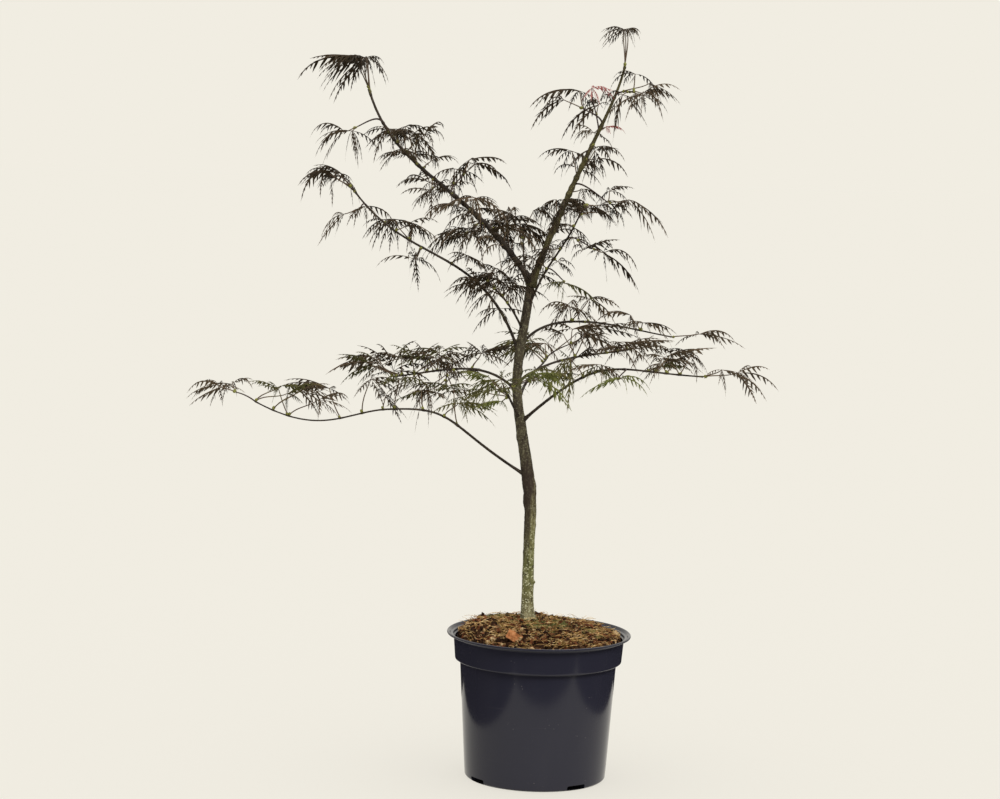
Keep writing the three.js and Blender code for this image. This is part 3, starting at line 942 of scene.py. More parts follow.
class Ground:
    """The compost's surface in the frame, for whatever lies or grows on it."""

    def __init__(self, node: str) -> None:
        """Reads the surface of a CAD node."""
        low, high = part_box(node)
        self.top = high.z / MM
        self.radius = (high.x - low.x) / 2 / MM
        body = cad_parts[node]
        self.tree = BVHTree.FromObject(body, bpy.context.evaluated_depsgraph_get())

    def height(self, x: float, y: float) -> float:
        """The surface's height at a place.

        Args:
            x: The place, to the right.
            y: The place, towards the back.

        Returns:
            The height, or that of the highest point where the surface is missing.
        """
        start = Vector((x * MM, y * MM, self.top * MM + 0.1))
        hit = self.tree.ray_cast(start, Vector((0, 0, -1)))[0]
        return hit.z / MM if hit else self.top


@dataclass(frozen=True)
class Fibres:
    """One kind of loose fibre."""

    name: str
    finish: str
    count: int
    length: Pair
    radius: float
    rise: float


@dataclass
class Compost:
    """Fibrous peat that rises to the trunk's foot, strewn with crumbs, straw, bark shreds and moss."""

    rings: int = 60
    turns: int = 190
    edge_share: float = 0.985
    foot: float = 69.0
    flank: tuple[Pair, ...] = ((77.5, 119.0), (82.5, 126.0))
    shoulder: float = 140.0
    level: float = 146.0
    sunk: float = 1.5
    relief: float = 3.4
    bump_scales: Triple = (0.11, 0.34, 0.9)
    edge_width: float = 9.0
    edge_relief: float = 0.35
    margin: float = 3.0
    bed: float = 1.2
    bed_spread: float = 0.6
    patch_scale: float = 0.085
    crumbs: tuple[tuple[str, str, int], ...] = (
        ("crumbs_dark", "peat_dark", 4300), ("crumbs_red", "peat_red", 1500), ("crumbs_tan", "peat_tan", 500),
    )
    crumb_chance: Pair = (2.0, 0.72)
    crumb_size: Pair = (0.5, 3.8)
    crumb_stretch: Pair = (0.4, 1.2)
    crumb_uneven: Pair = (0.55, 1.35)
    crumb_clump: float = 0.8
    fibres: tuple[Fibres, ...] = (
        Fibres("straw_fibres", "straw", 1700, (4.0, 20.0), 0.25, 0.30),
        Fibres("bark_fibres", "bark_shred", 1500, (2.5, 11.0), 0.42, 0.42),
    )
    fibre_clump: float = 1.3
    fibre_bend: float = 0.17
    fibre_dip: float = -0.12
    fibre_thickness: Pair = (0.6, 1.3)
    fibre_taper: float = 0.55
    moss: int = 5200
    moss_margin: float = 4.0
    moss_spread: float = 0.42
    moss_lean: float = 0.75
    moss_length: Pair = (1.2, 3.4)
    moss_sag: float = 0.8
    moss_radii: Pair = (0.32, 0.08)
    moss_patches: tuple[Triple, ...] = (
        (-12.0, -10.0, 17.0), (2.0, -26.0, 18.0), (16.0, -6.0, 18.0), (54.0, -16.0, 15.0), (28.0, 38.0, 18.0),
        (-45.0, 35.0, 15.0),
    )
    chip_place: Pair = (-25.0, -68.0)
    chip_size: Triple = (15.5, 9.5, 1.2)
    chip_tilt: Pair = (30.0, 62.0)
    chip_lift: float = 3.6
    ground: Ground = field(default_factory=lambda: Ground("soil"))

    def surface(self, finish: bpy.types.Material) -> None:
        """Makes the rough mound, closed underneath, in place of its CAD node.

        Args:
            finish: Its material.
        """
        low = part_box("soil")[0].z / MM
        edge = self.ground.radius * self.edge_share
        outline = [(0.0, low), (self.foot, low), *self.flank, (edge - 0.5, self.shoulder)]
        outline += [(edge * (1 - i / self.rings), self.level) for i in range(self.rings)]
        outline += [(0.0, self.level)]
        shape = turned(outline, self.turns)
        for vert in shape.verts:
            if vert.co.z > self.shoulder:
                vert.co.z = self.ground.height(vert.co.x, vert.co.y) - self.sunk + self.bumps(vert.co)
        bmesh.ops.recalc_face_normals(shape, faces=shape.faces)
        settle(shape_piece("compost", shape, finish), "soil", "soil")

    def bumps(self, place: Vector) -> float:
        """The height of the coarse crumb of the surface.

        Args:
            place: Where on the surface.

        Returns:
            The height, which is less near the pot's wall.
        """
        flat = Vector((place.x, place.y, 0.0))
        coarse, fine, finest = (noise.noise(flat * scale) for scale in self.bump_scales)
        edge = min(1.0, max(0.0, (self.ground.radius - flat.length) / self.edge_width))
        lumps = 0.5 * coarse + 0.5 * fine + 0.5 * abs(finest)
        return self.relief * lumps * (self.edge_relief + (1.0 - self.edge_relief) * edge)

    def top(self, places: Array) -> Array:
        """The heights of the crumbly surface at places given as (places, 2)."""
        return np.array([self.ground.height(x, y) + self.bumps(Vector((x, y, 0.0))) for x, y in places])

    def scatter(self, count: int, rng: np.random.Generator, clump: float) -> Array:
        """Places strewn over the surface.

        Args:
            count: How many.
            rng: The source of chance.
            clump: How strongly they gather in patches.

        Returns:
            The places, as (count, 3).
        """
        radius = (self.ground.radius - self.margin) * np.sqrt(rng.random(4 * count))
        angle = rng.random(4 * count) * math.tau
        x, y = radius * np.cos(angle), radius * np.sin(angle)
        patches = rough(np.stack([x, y, 0 * x], axis=1), self.patch_scale, 11.0)
        chosen = np.argsort(-(clump * patches + rng.random(4 * count)))[:count]
        places = np.column_stack([x, y])[chosen]
        height = self.top(places) - self.bed + rng.normal(0, self.bed_spread, count)
        return np.column_stack([places, height])

    def crumb_piece(
        self, name: str, count: int, finish: bpy.types.Material, rng: np.random.Generator
    ) -> None:
        """Makes small uneven lumps.

        Args:
            name: The piece's name.
            count: How many lumps.
            finish: Their material.
            rng: The source of chance.
        """
        shape = bmesh.new()
        bmesh.ops.create_icosphere(shape, subdivisions=1, radius=1.0)
        template = Template.of(shape)
        size = rng.gamma(*self.crumb_chance, (count, 1, 1)).clip(*self.crumb_size)
        size = size * rng.uniform(*self.crumb_stretch, (count, 1, 3))
        uneven = rng.uniform(*self.crumb_uneven, (count, len(template.points), 1))
        lumps = turned_by(template.points[None] * uneven * size, rng)
        places = lumps + self.scatter(count, rng, self.crumb_clump)[:, None]
        joined_piece(name, finish, "soil", template, places)

    def fibre_piece(self, fibres: Fibres, finish: bpy.types.Material, rng: np.random.Generator) -> None:
        """Makes bent fibres that lie criss-cross on the compost.

        Args:
            fibres: Their kind.
            finish: Their material.
            rng: The source of chance.
        """
        count = fibres.count
        foot = self.scatter(count, rng, self.fibre_clump)
        angle = rng.random(count) * math.tau
        long = rng.uniform(*fibres.length, count)
        rise = rng.uniform(self.fibre_dip, fibres.rise, count)
        way = np.stack([np.cos(angle), np.sin(angle), rise], axis=1)
        bend = rng.normal(0, self.fibre_bend, (count, 2, 3)) * long[:, None, None]
        bend[..., 2] = np.abs(bend[..., 2]) * 0.7
        third = way * long[:, None] / 3
        first, second = foot + third + bend[:, 0], foot + 2 * third + bend[:, 1]
        control = self.keep_in(np.stack([foot, first, second, foot + 3 * third], axis=1))
        thickness = rng.uniform(*self.fibre_thickness, (count, 1))
        radii = fibres.radius * thickness * np.array([[1.0, self.fibre_taper]])
        joined_piece(fibres.name, finish, "soil", *tubes(control, radii, 3, 4))

    def keep_in(self, control: Array) -> Array:
        """Pulls points that would reach through the pot's wall back inside it.

        Args:
            control: Points, as (curves, 4, 3), which are changed.

        Returns:
            The same points.
        """
        limit = self.ground.radius - 2.0
        reach = np.hypot(control[..., 0], control[..., 1])
        control[..., :2] *= np.minimum(1.0, limit / np.maximum(reach, 1e-6))[..., None]
        return control

    def moss_piece(self, finish: bpy.types.Material, rng: np.random.Generator) -> None:
        """Makes tufts of moss, as short pointed blades that stand close together in patches.

        Args:
            finish: Their material.
            rng: The source of chance.
        """
        chosen = rng.integers(0, len(self.moss_patches), self.moss)
        patches = np.array(self.moss_patches)[chosen]
        place = patches[:, :2] + rng.normal(0, self.moss_spread, (self.moss, 2)) * patches[:, 2:]
        place = place[np.hypot(place[:, 0], place[:, 1]) < self.ground.radius - self.moss_margin]
        count = len(place)
        foot = np.column_stack([place, self.top(place) - self.bed])
        lean = np.column_stack([rng.normal(0, self.moss_lean, (count, 2)), np.ones(count)])
        tip = foot + unit(lean) * rng.uniform(*self.moss_length, (count, 1))
        sag = rng.normal(0, self.moss_sag, (count, 3))
        first, second = foot + (tip - foot) * 0.4 + sag * 0.3, foot + (tip - foot) * 0.8
        control = self.keep_in(np.stack([foot, first, second, tip + sag], axis=1))
        radii = np.array([self.moss_radii]).repeat(count, 0)
        joined_piece("moss_tufts", finish, "soil", *tubes(control, radii, 3, 3))

    def chip_piece(self, finish: bpy.types.Material) -> None:
        """Makes one split chip of bark that lies tilted on the compost.

        Args:
            finish: Its material.
        """
        shape = bmesh.new()
        bmesh.ops.create_cube(shape, size=1.0)
        bmesh.ops.scale(shape, verts=shape.verts, vec=self.chip_size)
        bmesh.ops.subdivide_edges(shape, edges=shape.edges[:], cuts=5, use_grid_fill=True)
        for vert in shape.verts:
            vert.co.z += 0.8 * noise.noise(vert.co * 0.25) + 0.012 * vert.co.x * vert.co.x
            vert.co.x += 1.1 * noise.noise(Vector((vert.co.y * 0.9, 0.0, 3.0)))
            vert.co.y += 0.9 * noise.noise(Vector((vert.co.x * 0.6, 5.0, 0.0)))
        x, y = self.chip_place
        across, along = (math.radians(angle) for angle in self.chip_tilt)
        tilt = Matrix.Rotation(across, 3, "Y") @ Matrix.Rotation(along, 3, "X")
        bmesh.ops.rotate(shape, verts=shape.verts, cent=(0, 0, 0), matrix=tilt)
        bmesh.ops.translate(shape, verts=shape.verts, vec=(x, y, self.ground.height(x, y) + self.chip_lift))
        settle(shape_piece("bark_chip", shape, finish, smooth=False), "soil")

    def build(self) -> None:
        """Makes all the pieces of the compost, in order."""
        rng = np.random.default_rng(SEED)
        finishes = {name: Litter(name, *tones).make() for name, tones in LITTER.items()}
        self.surface(finishes["peat"])
        for name, finish, count in self.crumbs:
            self.crumb_piece(name, count, finishes[finish], rng)
        for fibres in self.fibres:
            self.fibre_piece(fibres, finishes[fibres.finish], rng)
        self.moss_piece(finishes["moss"], rng)
        self.chip_piece(finishes["chip"])


def turned_by(shapes: Array, rng: np.random.Generator) -> Array:
    """Turns each of many shapes at random.

    Args:
        shapes: The shapes, as (shapes, points, 3).
        rng: The source of chance.

    Returns:
        The turned shapes.
    """
    q = unit(rng.normal(size=(len(shapes), 4)))
    w, x, y, z = q.T
    turn = np.stack([
        np.stack([1 - 2 * (y * y + z * z), 2 * (x * y - z * w), 2 * (x * z + y * w)], 1),
        np.stack([2 * (x * y + z * w), 1 - 2 * (x * x + z * z), 2 * (y * z - x * w)], 1),
        np.stack([2 * (x * z - y * w), 2 * (y * z + x * w), 1 - 2 * (x * x + y * y)], 1),
    ], 1)
    return np.einsum("nab,npb->npa", turn, shapes)


# ---------------------------------------------------------------- trunk and limbs


@dataclass
class Trunk:
    """The grafted trunk: its bark follows the frame's taper, lean and flare, with a fine relief."""

    stations: tuple[Four, ...] = (
        (164.0, -12.0, 0.0, 8.4), (172.0, -12.5, 0.0, 6.9), (190.0, -13.0, 0.0, 6.1),
        (245.0, -13.0, 1.0, 5.7), (275.0, -12.5, 2.0, 6.2), (298.0, -14.0, 2.0, 7.1),
        (330.0, -19.0, 1.0, 6.2), (385.0, -28.5, 0.0, 5.1), (410.0, -31.0, 0.0, 4.8),
        (437.0, -29.0, -1.0, 4.8), (480.0, -23.0, -1.0, 4.6), (517.0, -18.5, 0.0, 4.2),
    )  # height, sideways place, depth and radius
    sides: int = 48
    steps: int = 330
    sunk: float = 2.5
    flare: float = 0.12
    flare_height: float = 10.0
    ridges: Pair = (0.38, 0.55)
    ridge_stretch: Triple = (1.0, 1.0, 0.14)
    grains: Pair = (0.16, 1.5)
    grain_stretch: Triple = (1.0, 1.0, 0.5)
    graft_height: float = 296.0
    graft_length: float = 16.0
    graft_waves: float = 0.55
    graft_lumps: float = 0.5
    knobs: tuple[Four, ...] = (
        (203.0, -10.0, 1.7, 3.2), (233.0, 150.0, 0.7, 4.0), (262.0, 20.0, 0.6, 5.0), (286.0, 175.0, 1.2, 9.0),
        (303.0, 30.0, 0.9, 8.0), (352.0, 200.0, 0.8, 5.0), (420.0, 10.0, 0.8, 5.0), (455.0, 160.0, 0.7, 4.0),
    )  # height, azimuth, height above the bark and width
    scar_depth: float = 0.22
    scar_width: float = 0.9

    def axis(self, height: Union[float, Array]) -> Array:
        """The axis point at a height, or at several.

        Args:
            height: The height or heights.

        Returns:
            The point or points.
        """
        table = np.array(self.stations)
        across, back = (np.interp(height, table[:, 0], table[:, i]) for i in (1, 2))
        return np.stack([across, back, np.asarray(height, float)], axis=-1)

    def radius(self, height: Array) -> Array:
        """The mean radius at some heights."""
        table = np.array(self.stations)
        return np.interp(height, table[:, 0], table[:, 3])

    def build(self, finish: bpy.types.Material) -> None:
        """Makes the trunk, in place of its CAD node.

        Args:
            finish: Its material.
        """
        shape = unit_rod(self.sides, self.steps)
        unit_points = np.array([v.co for v in shape.verts])
        foot, top = self.stations[0][0] - self.sunk, self.stations[-1][0]
        height = foot + (top - foot) * unit_points[:, 2]
        angle = np.arctan2(unit_points[:, 1], unit_points[:, 0])
        out = np.stack([np.cos(angle), np.sin(angle), np.zeros_like(angle)], axis=1)
        near_foot = np.clip(1 - (height - self.stations[0][0]) / self.flare_height, 0, 1.2)
        radius = self.radius(height) * (1 + self.flare * np.sin(3 * angle + 0.6) * near_foot)
        skin = self.axis(height) + out * radius[:, None]
        lay_skin(shape, skin, out, self.relief(skin, height, angle))
        settle(shape_piece("trunk_bark", shape, finish), "bark", "trunk")

    def relief(self, skin: Array, height: Array, angle: Array) -> Array:
        """The bark's relief: long ridges, grain, knobs with a scar above each, and the graft's folds.

        Args:
            skin: Points on the smooth trunk.
            height: Their heights.
            angle: Their angles round the trunk.

        Returns:
            How far the bark stands out at each point.
        """
        lift = self.ridges[0] * rough(skin * np.array(self.ridge_stretch), self.ridges[1])
        lift = lift + self.grains[0] * rough(skin * np.array(self.grain_stretch), self.grains[1], 7.0)
        graft = np.exp(-(((height - self.graft_height) / self.graft_length) ** 2))
        waves = self.graft_waves * np.sin(2 * angle + 0.06 * height)
        lift += graft * (waves + self.graft_lumps * rough(skin, 0.28, 3.0))
        for middle, azimuth, rise, width in self.knobs:
            off = np.angle(np.exp(1j * (angle - math.radians(azimuth)))) * self.radius(height)
            lift += rise * np.exp(-((height - middle) ** 2 + off**2) / (width / 1.6) ** 2)
            lift -= self.scar_depth * np.exp(-(((height - middle - width) / self.scar_width) ** 2))
        return lift


@dataclass(frozen=True)
class Limb:
    """One tapering bough: where it leaves the trunk and where it ends, with its foliage.

    Each mass that it carries has a fullness, where 1 is usual. Between the masses, leaves sit straight on it.
    """

    name: str
    tip: Triple
    leave: Pair
    arrive: Pair
    reach: Pair
    radii: Pair
    carries: dict[str, float]
    height: float = 0.0
    foot: Optional[Triple] = None
    between: int = 0
    between_span: Pair = (0.3, 0.9)
    lift: float = 0.0
    fresh: bool = False

    def control(self, trunk: Trunk) -> Array:
        """The four control points of its axis.

        Args:
            trunk: The trunk that it springs from, unless it goes on from another limb.

        Returns:
            The points, as (4, 3).
        """
        start = np.array(self.foot) if self.foot else trunk.axis(self.height)
        end = np.array(self.tip)
        span = np.linalg.norm(end - start)
        first = start + heading(*self.leave) * self.reach[0] * span
        return np.array([start, first, end - heading(*self.arrive) * self.reach[1] * span, end])


LIMBS = (
    Limb("left_leader", (-192, 40, 704), (166, 56), (168, 72), (0.47, 0.36), (3.3, 1.3),
         {"left_top": 0.8, "left_fall": 0.5, "left_shoulder": 1.1, "left_hang": 0.3,
          "left_high": 0.5, "left_inner": 0.35, "left_under": 0.8, "heart": 1.3}, 512,
         between=17, between_span=(0.08, 0.86)),
    Limb("right_leader", (70, 25, 734), (14, 70), (0, 78), (0.6, 0.2), (3.7, 1.3),
         {"right_top": 2.4, "right_out": 1.1, "right_in": 0.7, "right_middle": 0.5,
          "right_far": 0.5, "right_inner": 2.2}, 508, between=6, between_span=(0.08, 0.60),
         fresh=True),
    Limb("right_spur", (32, -45, 593), (-35, 68), (-40, 62), (0.5, 0.5), (1.5, 0.9),
         {"spur_tip": 0.9, "spur_out": 0.8, "spur_low": 0.2}, 480,
         between=6, between_span=(0.35, 1.0)),
    Limb("left_spur", (-62, -48, 514), (-125, 52), (-140, 35), (0.36, 0.36), (1.4, 0.9),
         {"heart_low": 1.1}, 462, between=4, between_span=(0.5, 1.0), lift=0.9),
    Limb("back_spur", (-30, 88, 560), (105, 40), (95, 40), (0.36, 0.36), (1.5, 0.9),
         {"back_high": 0.55}, 500, between=2, between_span=(0.3, 0.8)),
    Limb("arching_bough", (-200, -56, 605), (193, 71), (192, 54), (0.5, 0.41), (1.8, 1.0),
         {"arch_tip": 1.0, "arch_fall": 0.4, "arch_top": 0.75, "arch_hang": 0.45}, 438,
         between=3, between_span=(0.12, 0.8)),
    Limb("low_left_bough", (-160, -32, 381), (196, 31), (192, -3), (0.65, 0.45), (1.7, 1.1),
         {}, 312, between=4, between_span=(0.45, 0.95), lift=1.2),
    Limb("low_left_bough_end", (-292, -62, 388), (192, -4), (192, 28), (0.33, 0.57), (1.05, 0.8),
         {"low_left_tip": 0.45, "low_left": 0.75}, foot=(-160.8, -32.2, 381),
         between=3, between_span=(0.05, 0.4), lift=1.2),
    Limb("mid_left_bough", (-160, 60, 406), (160, 46), (158, -8), (0.36, 0.36), (1.7, 0.9),
         {"mid_left_tip": 0.8, "mid_left": 0.9, "mid_root": 0.4, "mid_under": 1.1}, 399,
         between=5, between_span=(0.4, 1.0)),
    Limb("front_bough", (-44, -104, 410), (245, 40), (262, 5), (0.36, 0.36), (1.6, 0.9),
         {"front_hang": 1.0, "front_left": 0.6, "front_right": 1.0}, 372, between=1, between_span=(0.5, 0.6)),
    Limb("back_bough", (0, 138, 424), (85, 35), (80, 12), (0.36, 0.36), (1.8, 1.0),
         {"back_left": 0.75, "back_right": 0.45}, 384, between=1, between_span=(0.4, 0.6)),
    Limb("low_right_bough", (156, -66, 427), (-22, 42), (-18, 0), (0.6, 0.5), (1.8, 0.9),
         {"low_right": 0.45, "low_right_under": 0.2, "low_right_out": 1.5, "low_right_tip": 0.45}, 368,
         between=2, between_span=(0.4, 0.75)),
    Limb("mid_right_bough", (84, 52, 442), (20, 40), (26, 8), (0.36, 0.36), (1.6, 0.9),
         {"mid_right": 0.45, "mid_right_out": 0.9}, 408, between=1, between_span=(0.4, 0.6)),
    Limb("right_shoulder_bough", (130, 88, 454), (38, 54), (26, -10), (0.3, 0.36), (1.7, 0.8),
         {"shoulder_root": 0.5, "shoulder": 0.3, "shoulder_tip": 0.25}, 446,
         between=1, between_span=(0.5, 0.6)),
)


@dataclass
class Boughs:
    """The boughs' bark: fine tubes that thicken at each pair of bud scars and at the collar on the trunk."""

    trunk: Trunk
    sides: int = 12
    step: float = 1.6
    node_swell: float = 0.36
    node_length: float = 1.9
    collar_swell: float = 0.8
    collar_length: float = 6.0
    slimming: float = 0.86
    taper: float = 1.0
    stout: float = 2.5
    stout_slimming: float = 0.93
    stout_taper: float = 1.5
    overlap: float = 3.0
    wobble: float = 0.35
    grain: float = 0.10

    def build(self, nodes: dict[str, list[float]]) -> None:
        """Makes every bough, in place of its CAD node.

        Args:
            nodes: Where leaves and twigs spring from each bough, as shares of its length.
        """
        usual, fresh = bark("bough_bark"), bark("fresh_bark")
        for limb in LIMBS:
            finish = fresh if limb.fresh else usual
            settle(self.bough(limb, finish, nodes[limb.name]), "twig", limb.name)

    def bough(self, limb: Limb, finish: bpy.types.Material, nodes: Sequence[float]) -> bpy.types.Object:
        """One bough.

        Args:
            limb: Its course and size.
            finish: Its bark.
            nodes: Where leaves and twigs spring from it, as shares of its length.

        Returns:
            The piece.
        """
        control = limb.control(self.trunk)[None]
        share = np.linspace(0, 1, 60)
        points, _ = curve_at(control, share)
        length = float(np.linalg.norm(np.diff(points[0], axis=0), axis=1).sum())
        steps = max(20, int(length / self.step))
        ring_share = np.linspace(0, 1, steps + 1)
        centre, way = curve_at(control, ring_share)
        if limb.foot:
            centre[0][0] -= self.overlap * way[0][0]
        side, normal = turned_frames(way[0])
        wobble = self.wobble * rough(centre[0], 0.05, 2.0 + len(limb.name))
        shape = unit_rod(self.sides, steps)
        unit_points = np.array([v.co for v in shape.verts])
        ring = np.rint(unit_points[:, 2] * steps).astype(int)
        radius = self.radius(limb, ring_share, length, nodes)[ring]
        x, y = unit_points[:, 0], unit_points[:, 1]
        out = side[ring] * x[:, None] + normal[ring] * y[:, None]
        middle = centre[0][ring] + side[ring] * wobble[ring, None] * (ring_share[ring] > 0.05)[:, None]
        skin = middle + out * radius[:, None]
        lay_skin(shape, skin, out, self.grain * rough(skin, 0.6, 1.0) * radius)
        return shape_piece(limb.name + "_bark", shape, finish)

    def radius(self, limb: Limb, share: Array, length: float, nodes: Sequence[float]) -> Array:
        """The radius of each ring, with the swellings.

        Args:
            limb: The limb.
            share: How far along it each ring is, from 0 to 1.
            length: Its length.
            nodes: Where leaves and twigs spring from it, as shares of its length.

        Returns:
            The radii.
        """
        root, tip = limb.radii
        stout = root > self.stout
        slim = self.stout_slimming if stout else self.slimming
        taper = self.stout_taper if stout else self.taper
        radius = (tip + (root - tip) * (1 - share) ** taper) * slim
        place = share * length
        swell = np.zeros_like(place)
        for node in nodes:
            swell = np.maximum(swell, np.exp(-(((place - node * length) / self.node_length) ** 2)))
        radius = radius * (1 + self.node_swell * swell)
        if not limb.foot:
            radius = radius * (1 + self.collar_swell * np.exp(-((place / self.collar_length) ** 2)))
        return radius


# ---------------------------------------------------------------- leaves


class Tint(Enum):
    """The colours of the leaves."""

    BRONZE = "bronze"
    UMBER = "umber"
    OLIVE = "olive"
    GREEN = "green"
    NEW = "new"


SKINS = {
    Tint.BRONZE: ("foliage_dark", (0.0168, 0.0115, 0.0055), (0.036, 0.025, 0.0125), (0.066, 0.040, 0.023)),
    Tint.UMBER: ("foliage_dark", (0.036, 0.026, 0.014), (0.070, 0.050, 0.028), (0.110, 0.068, 0.042)),
    Tint.OLIVE: ("foliage_green", (0.034, 0.034, 0.010), (0.068, 0.064, 0.018), (0.120, 0.095, 0.042)),
    Tint.GREEN: ("foliage_green", (0.052, 0.058, 0.014), (0.102, 0.112, 0.026), (0.160, 0.150, 0.060)),
    Tint.NEW: ("foliage_new", (0.180, 0.035, 0.040), (0.300, 0.095, 0.085), (0.360, 0.160, 0.140)),
}  # material slot, blade, shaded blade and rib

MIXES = {
    Tint.BRONZE: (0.9, Tint.UMBER),
    Tint.UMBER: (0.8, Tint.BRONZE),
    Tint.OLIVE: (0.6, Tint.UMBER),
    Tint.GREEN: (0.42, Tint.OLIVE),
}  # the chance that a leaf has the colour of its group, and the colour that it has otherwise


@dataclass(frozen=True)
class LobePattern:
    """A leaf lobe laid flat: a slender ribbon with narrow side lobes that point forward, and a long bare tip.

    Places along it are shares of its length. Places across it are in millimetres, for a lobe of the usual
    size.
    """

    big: int = 4
    small: int = 3
    big_span: Pair = (0.14, 0.57)
    small_span: Pair = (0.67, 0.86)
    base: float = 0.062
    small_base: float = 0.6
    reach: float = 5.8
    small_reach: float = 1.5
    least_reach: float = 0.25
    lean: float = 0.118
    small_lean: float = 0.050
    chances: Pair = (0.6, 1.25)
    lean_chances: Pair = (0.85, 1.2)
    waist: Pair = (0.40, 0.48)
    ribs: tuple[Pair, ...] = (
        (0.0, 0.5), (0.12, 0.8), (0.32, 1.25), (0.54, 1.05), (0.72, 0.75), (0.9, 0.5), (1.0, 0.06))

    def template(self, rng: np.random.Generator) -> Template:
        """One lobe, made from a ribbon whose edges are drawn out, some further than others.

        Args:
            rng: The source of chance.

        Returns:
            The flat lobe.
        """
        cuts = self.cuts()
        shape = bmesh.new()
        bmesh.ops.create_grid(shape, x_segments=len(cuts) - 1, y_segments=2, size=0.5)
        rows: dict[bmesh.types.BMVert, int] = {}
        for vert in shape.verts:
            rows[vert] = int(round((vert.co.x + 0.5) * (len(cuts) - 1)))
            place = cuts[rows[vert]]
            vert.co = Vector((place, 2.0 * vert.co.y * np.interp(place, *zip(*self.ribs)), 0.0))
        edges = [e for e in shape.edges if e.verts[0].co.y * e.verts[1].co.y > 1e-9]
        for edge in edges:
            row = min(rows[v] for v in edge.verts)
            if row % 2 == 1:
                self.draw_out(shape, edge, row // 2, rng)
        return Template.of(shape)

    def cuts(self) -> list[float]:
        """Where the ribbon is cut: each side lobe's base, and the gaps between them."""
        starts = [*np.linspace(*self.big_span, self.big), *np.linspace(*self.small_span, self.small)]
        widths = [self.base] * self.big + [self.base * self.small_base] * self.small
        pairs = [(start, start + width) for start, width in zip(starts, widths)]
        return [0.0, *(place for pair in pairs for place in pair), 1.0]

    def draw_out(
        self, shape: bmesh.types.BMesh, edge: bmesh.types.BMEdge, place: int, rng: np.random.Generator
    ) -> None:
        """Draws one edge of the ribbon out into a narrow side lobe.

        Args:
            shape: The ribbon.
            edge: The edge.
            place: The side lobe's number from the base.
            rng: The source of chance.
        """
        if place < self.big:
            fullness = math.sin(math.pi * (place + 0.9) / (self.big + 1.0)) ** 0.6
            reach, lean = self.reach * fullness, self.lean * fullness
        else:
            share = (self.small - (place - self.big)) / self.small
            reach, lean = self.small_reach * share + self.least_reach, self.small_lean
        chance = rng.uniform(*self.chances)
        reach, lean = reach * chance, lean * chance * rng.uniform(*self.lean_chances)
        way = math.copysign(1.0, edge.verts[0].co.y)
        middle = (edge.verts[0].co.x + edge.verts[1].co.x) / 2
        rib = abs(edge.verts[0].co.y)
        drawn = bmesh.ops.extrude_edge_only(shape, edges=[edge])["geom"]
        for vert in (g for g in drawn if isinstance(g, bmesh.types.BMVert)):
            vert.co += Vector((self.waist[0] * lean, way * self.waist[1] * reach, 0.0))
        waist = next(
            g for g in drawn
            if isinstance(g, bmesh.types.BMEdge) and not g.is_wire
            and abs(g.verts[0].co.y - g.verts[1].co.y) < 0.3 and abs(g.verts[0].co.y) > rib + 0.1
        )
        point = bmesh.ops.extrude_edge_only(shape, edges=[waist])["geom"]
        ends = [g for g in point if isinstance(g, bmesh.types.BMVert)]
        bmesh.ops.pointmerge(shape, verts=ends, merge_co=Vector((middle + lean, way * (rib + reach), 0.0)))


@dataclass
class Mass:
    """One mass of foliage in the frame: its ellipsoid and the place on the limb that it springs from."""

    name: str
    limb: Limb
    control: Array
    stalk_clearance: float = 2.4

    def __post_init__(self) -> None:
        """Finds the mass's box, leaving out the thin stalk that joins it to its limb."""
        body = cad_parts[f"foliage_{self.name}"]
        points = np.array([v.co for v in body.data.vertices]) / MM
        middle = np.median(points, axis=0)
        for _ in range(2):
            self.root, self.root_way, self.root_share = self.nearest(middle)
            line = middle - self.root
            share = np.clip((points - self.root) @ line / max(line @ line, 1e-6), 0, 1)
            off = np.linalg.norm(points - self.root - share[:, None] * line, axis=1)
            kept = points[off > self.stalk_clearance]
            self.low, self.high = kept.min(axis=0), kept.max(axis=0)
            middle = (self.low + self.high) / 2
        self.middle = middle
        self.half = (self.high - self.low) / 2

    def nearest(self, place: Array) -> tuple[Array, Array, float]:
        """The point on the limb's axis that is nearest to a place.

        Args:
            place: The place.

        Returns:
            The point, the limb's direction there, and its share of the limb's length.
        """
        share = np.linspace(0.06, 1.0, 90)
        points, way = curve_at(self.control[None], share)
        best = int(np.linalg.norm(points[0] - place, axis=1).argmin())
        return points[0][best], way[0][best], float(share[best])

    def reach(self, start: Array, azimuth: float) -> float:
        """How far it is, level, from a place to the mass's side.

        Args:
            start: The place.
            azimuth: The direction, in radians.

        Returns:
            The distance.
        """
        way = np.array([math.cos(azimuth), math.sin(azimuth)]) / self.half[:2]
        off = (start[:2] - self.middle[:2]) / self.half[:2]
        a, b, c = way @ way, 2 * way @ off, off @ off - 1.0
        return (-b + math.sqrt(max(b * b - 4 * a * c, 0.0))) / (2 * a)


@dataclass(frozen=True)
class Node:
    """A place where leaves spring from a limb or twig."""

    place: Array
    way: Array
    on_limb: Optional[float] = None


@dataclass(frozen=True)
class Lobe:
    """One lobe of a leaf: its curve, and how the flat pattern is laid along it."""

    control: Array
    side: Array
    scale: float
    twist: float
    further: float
    fold: float
    pattern: int


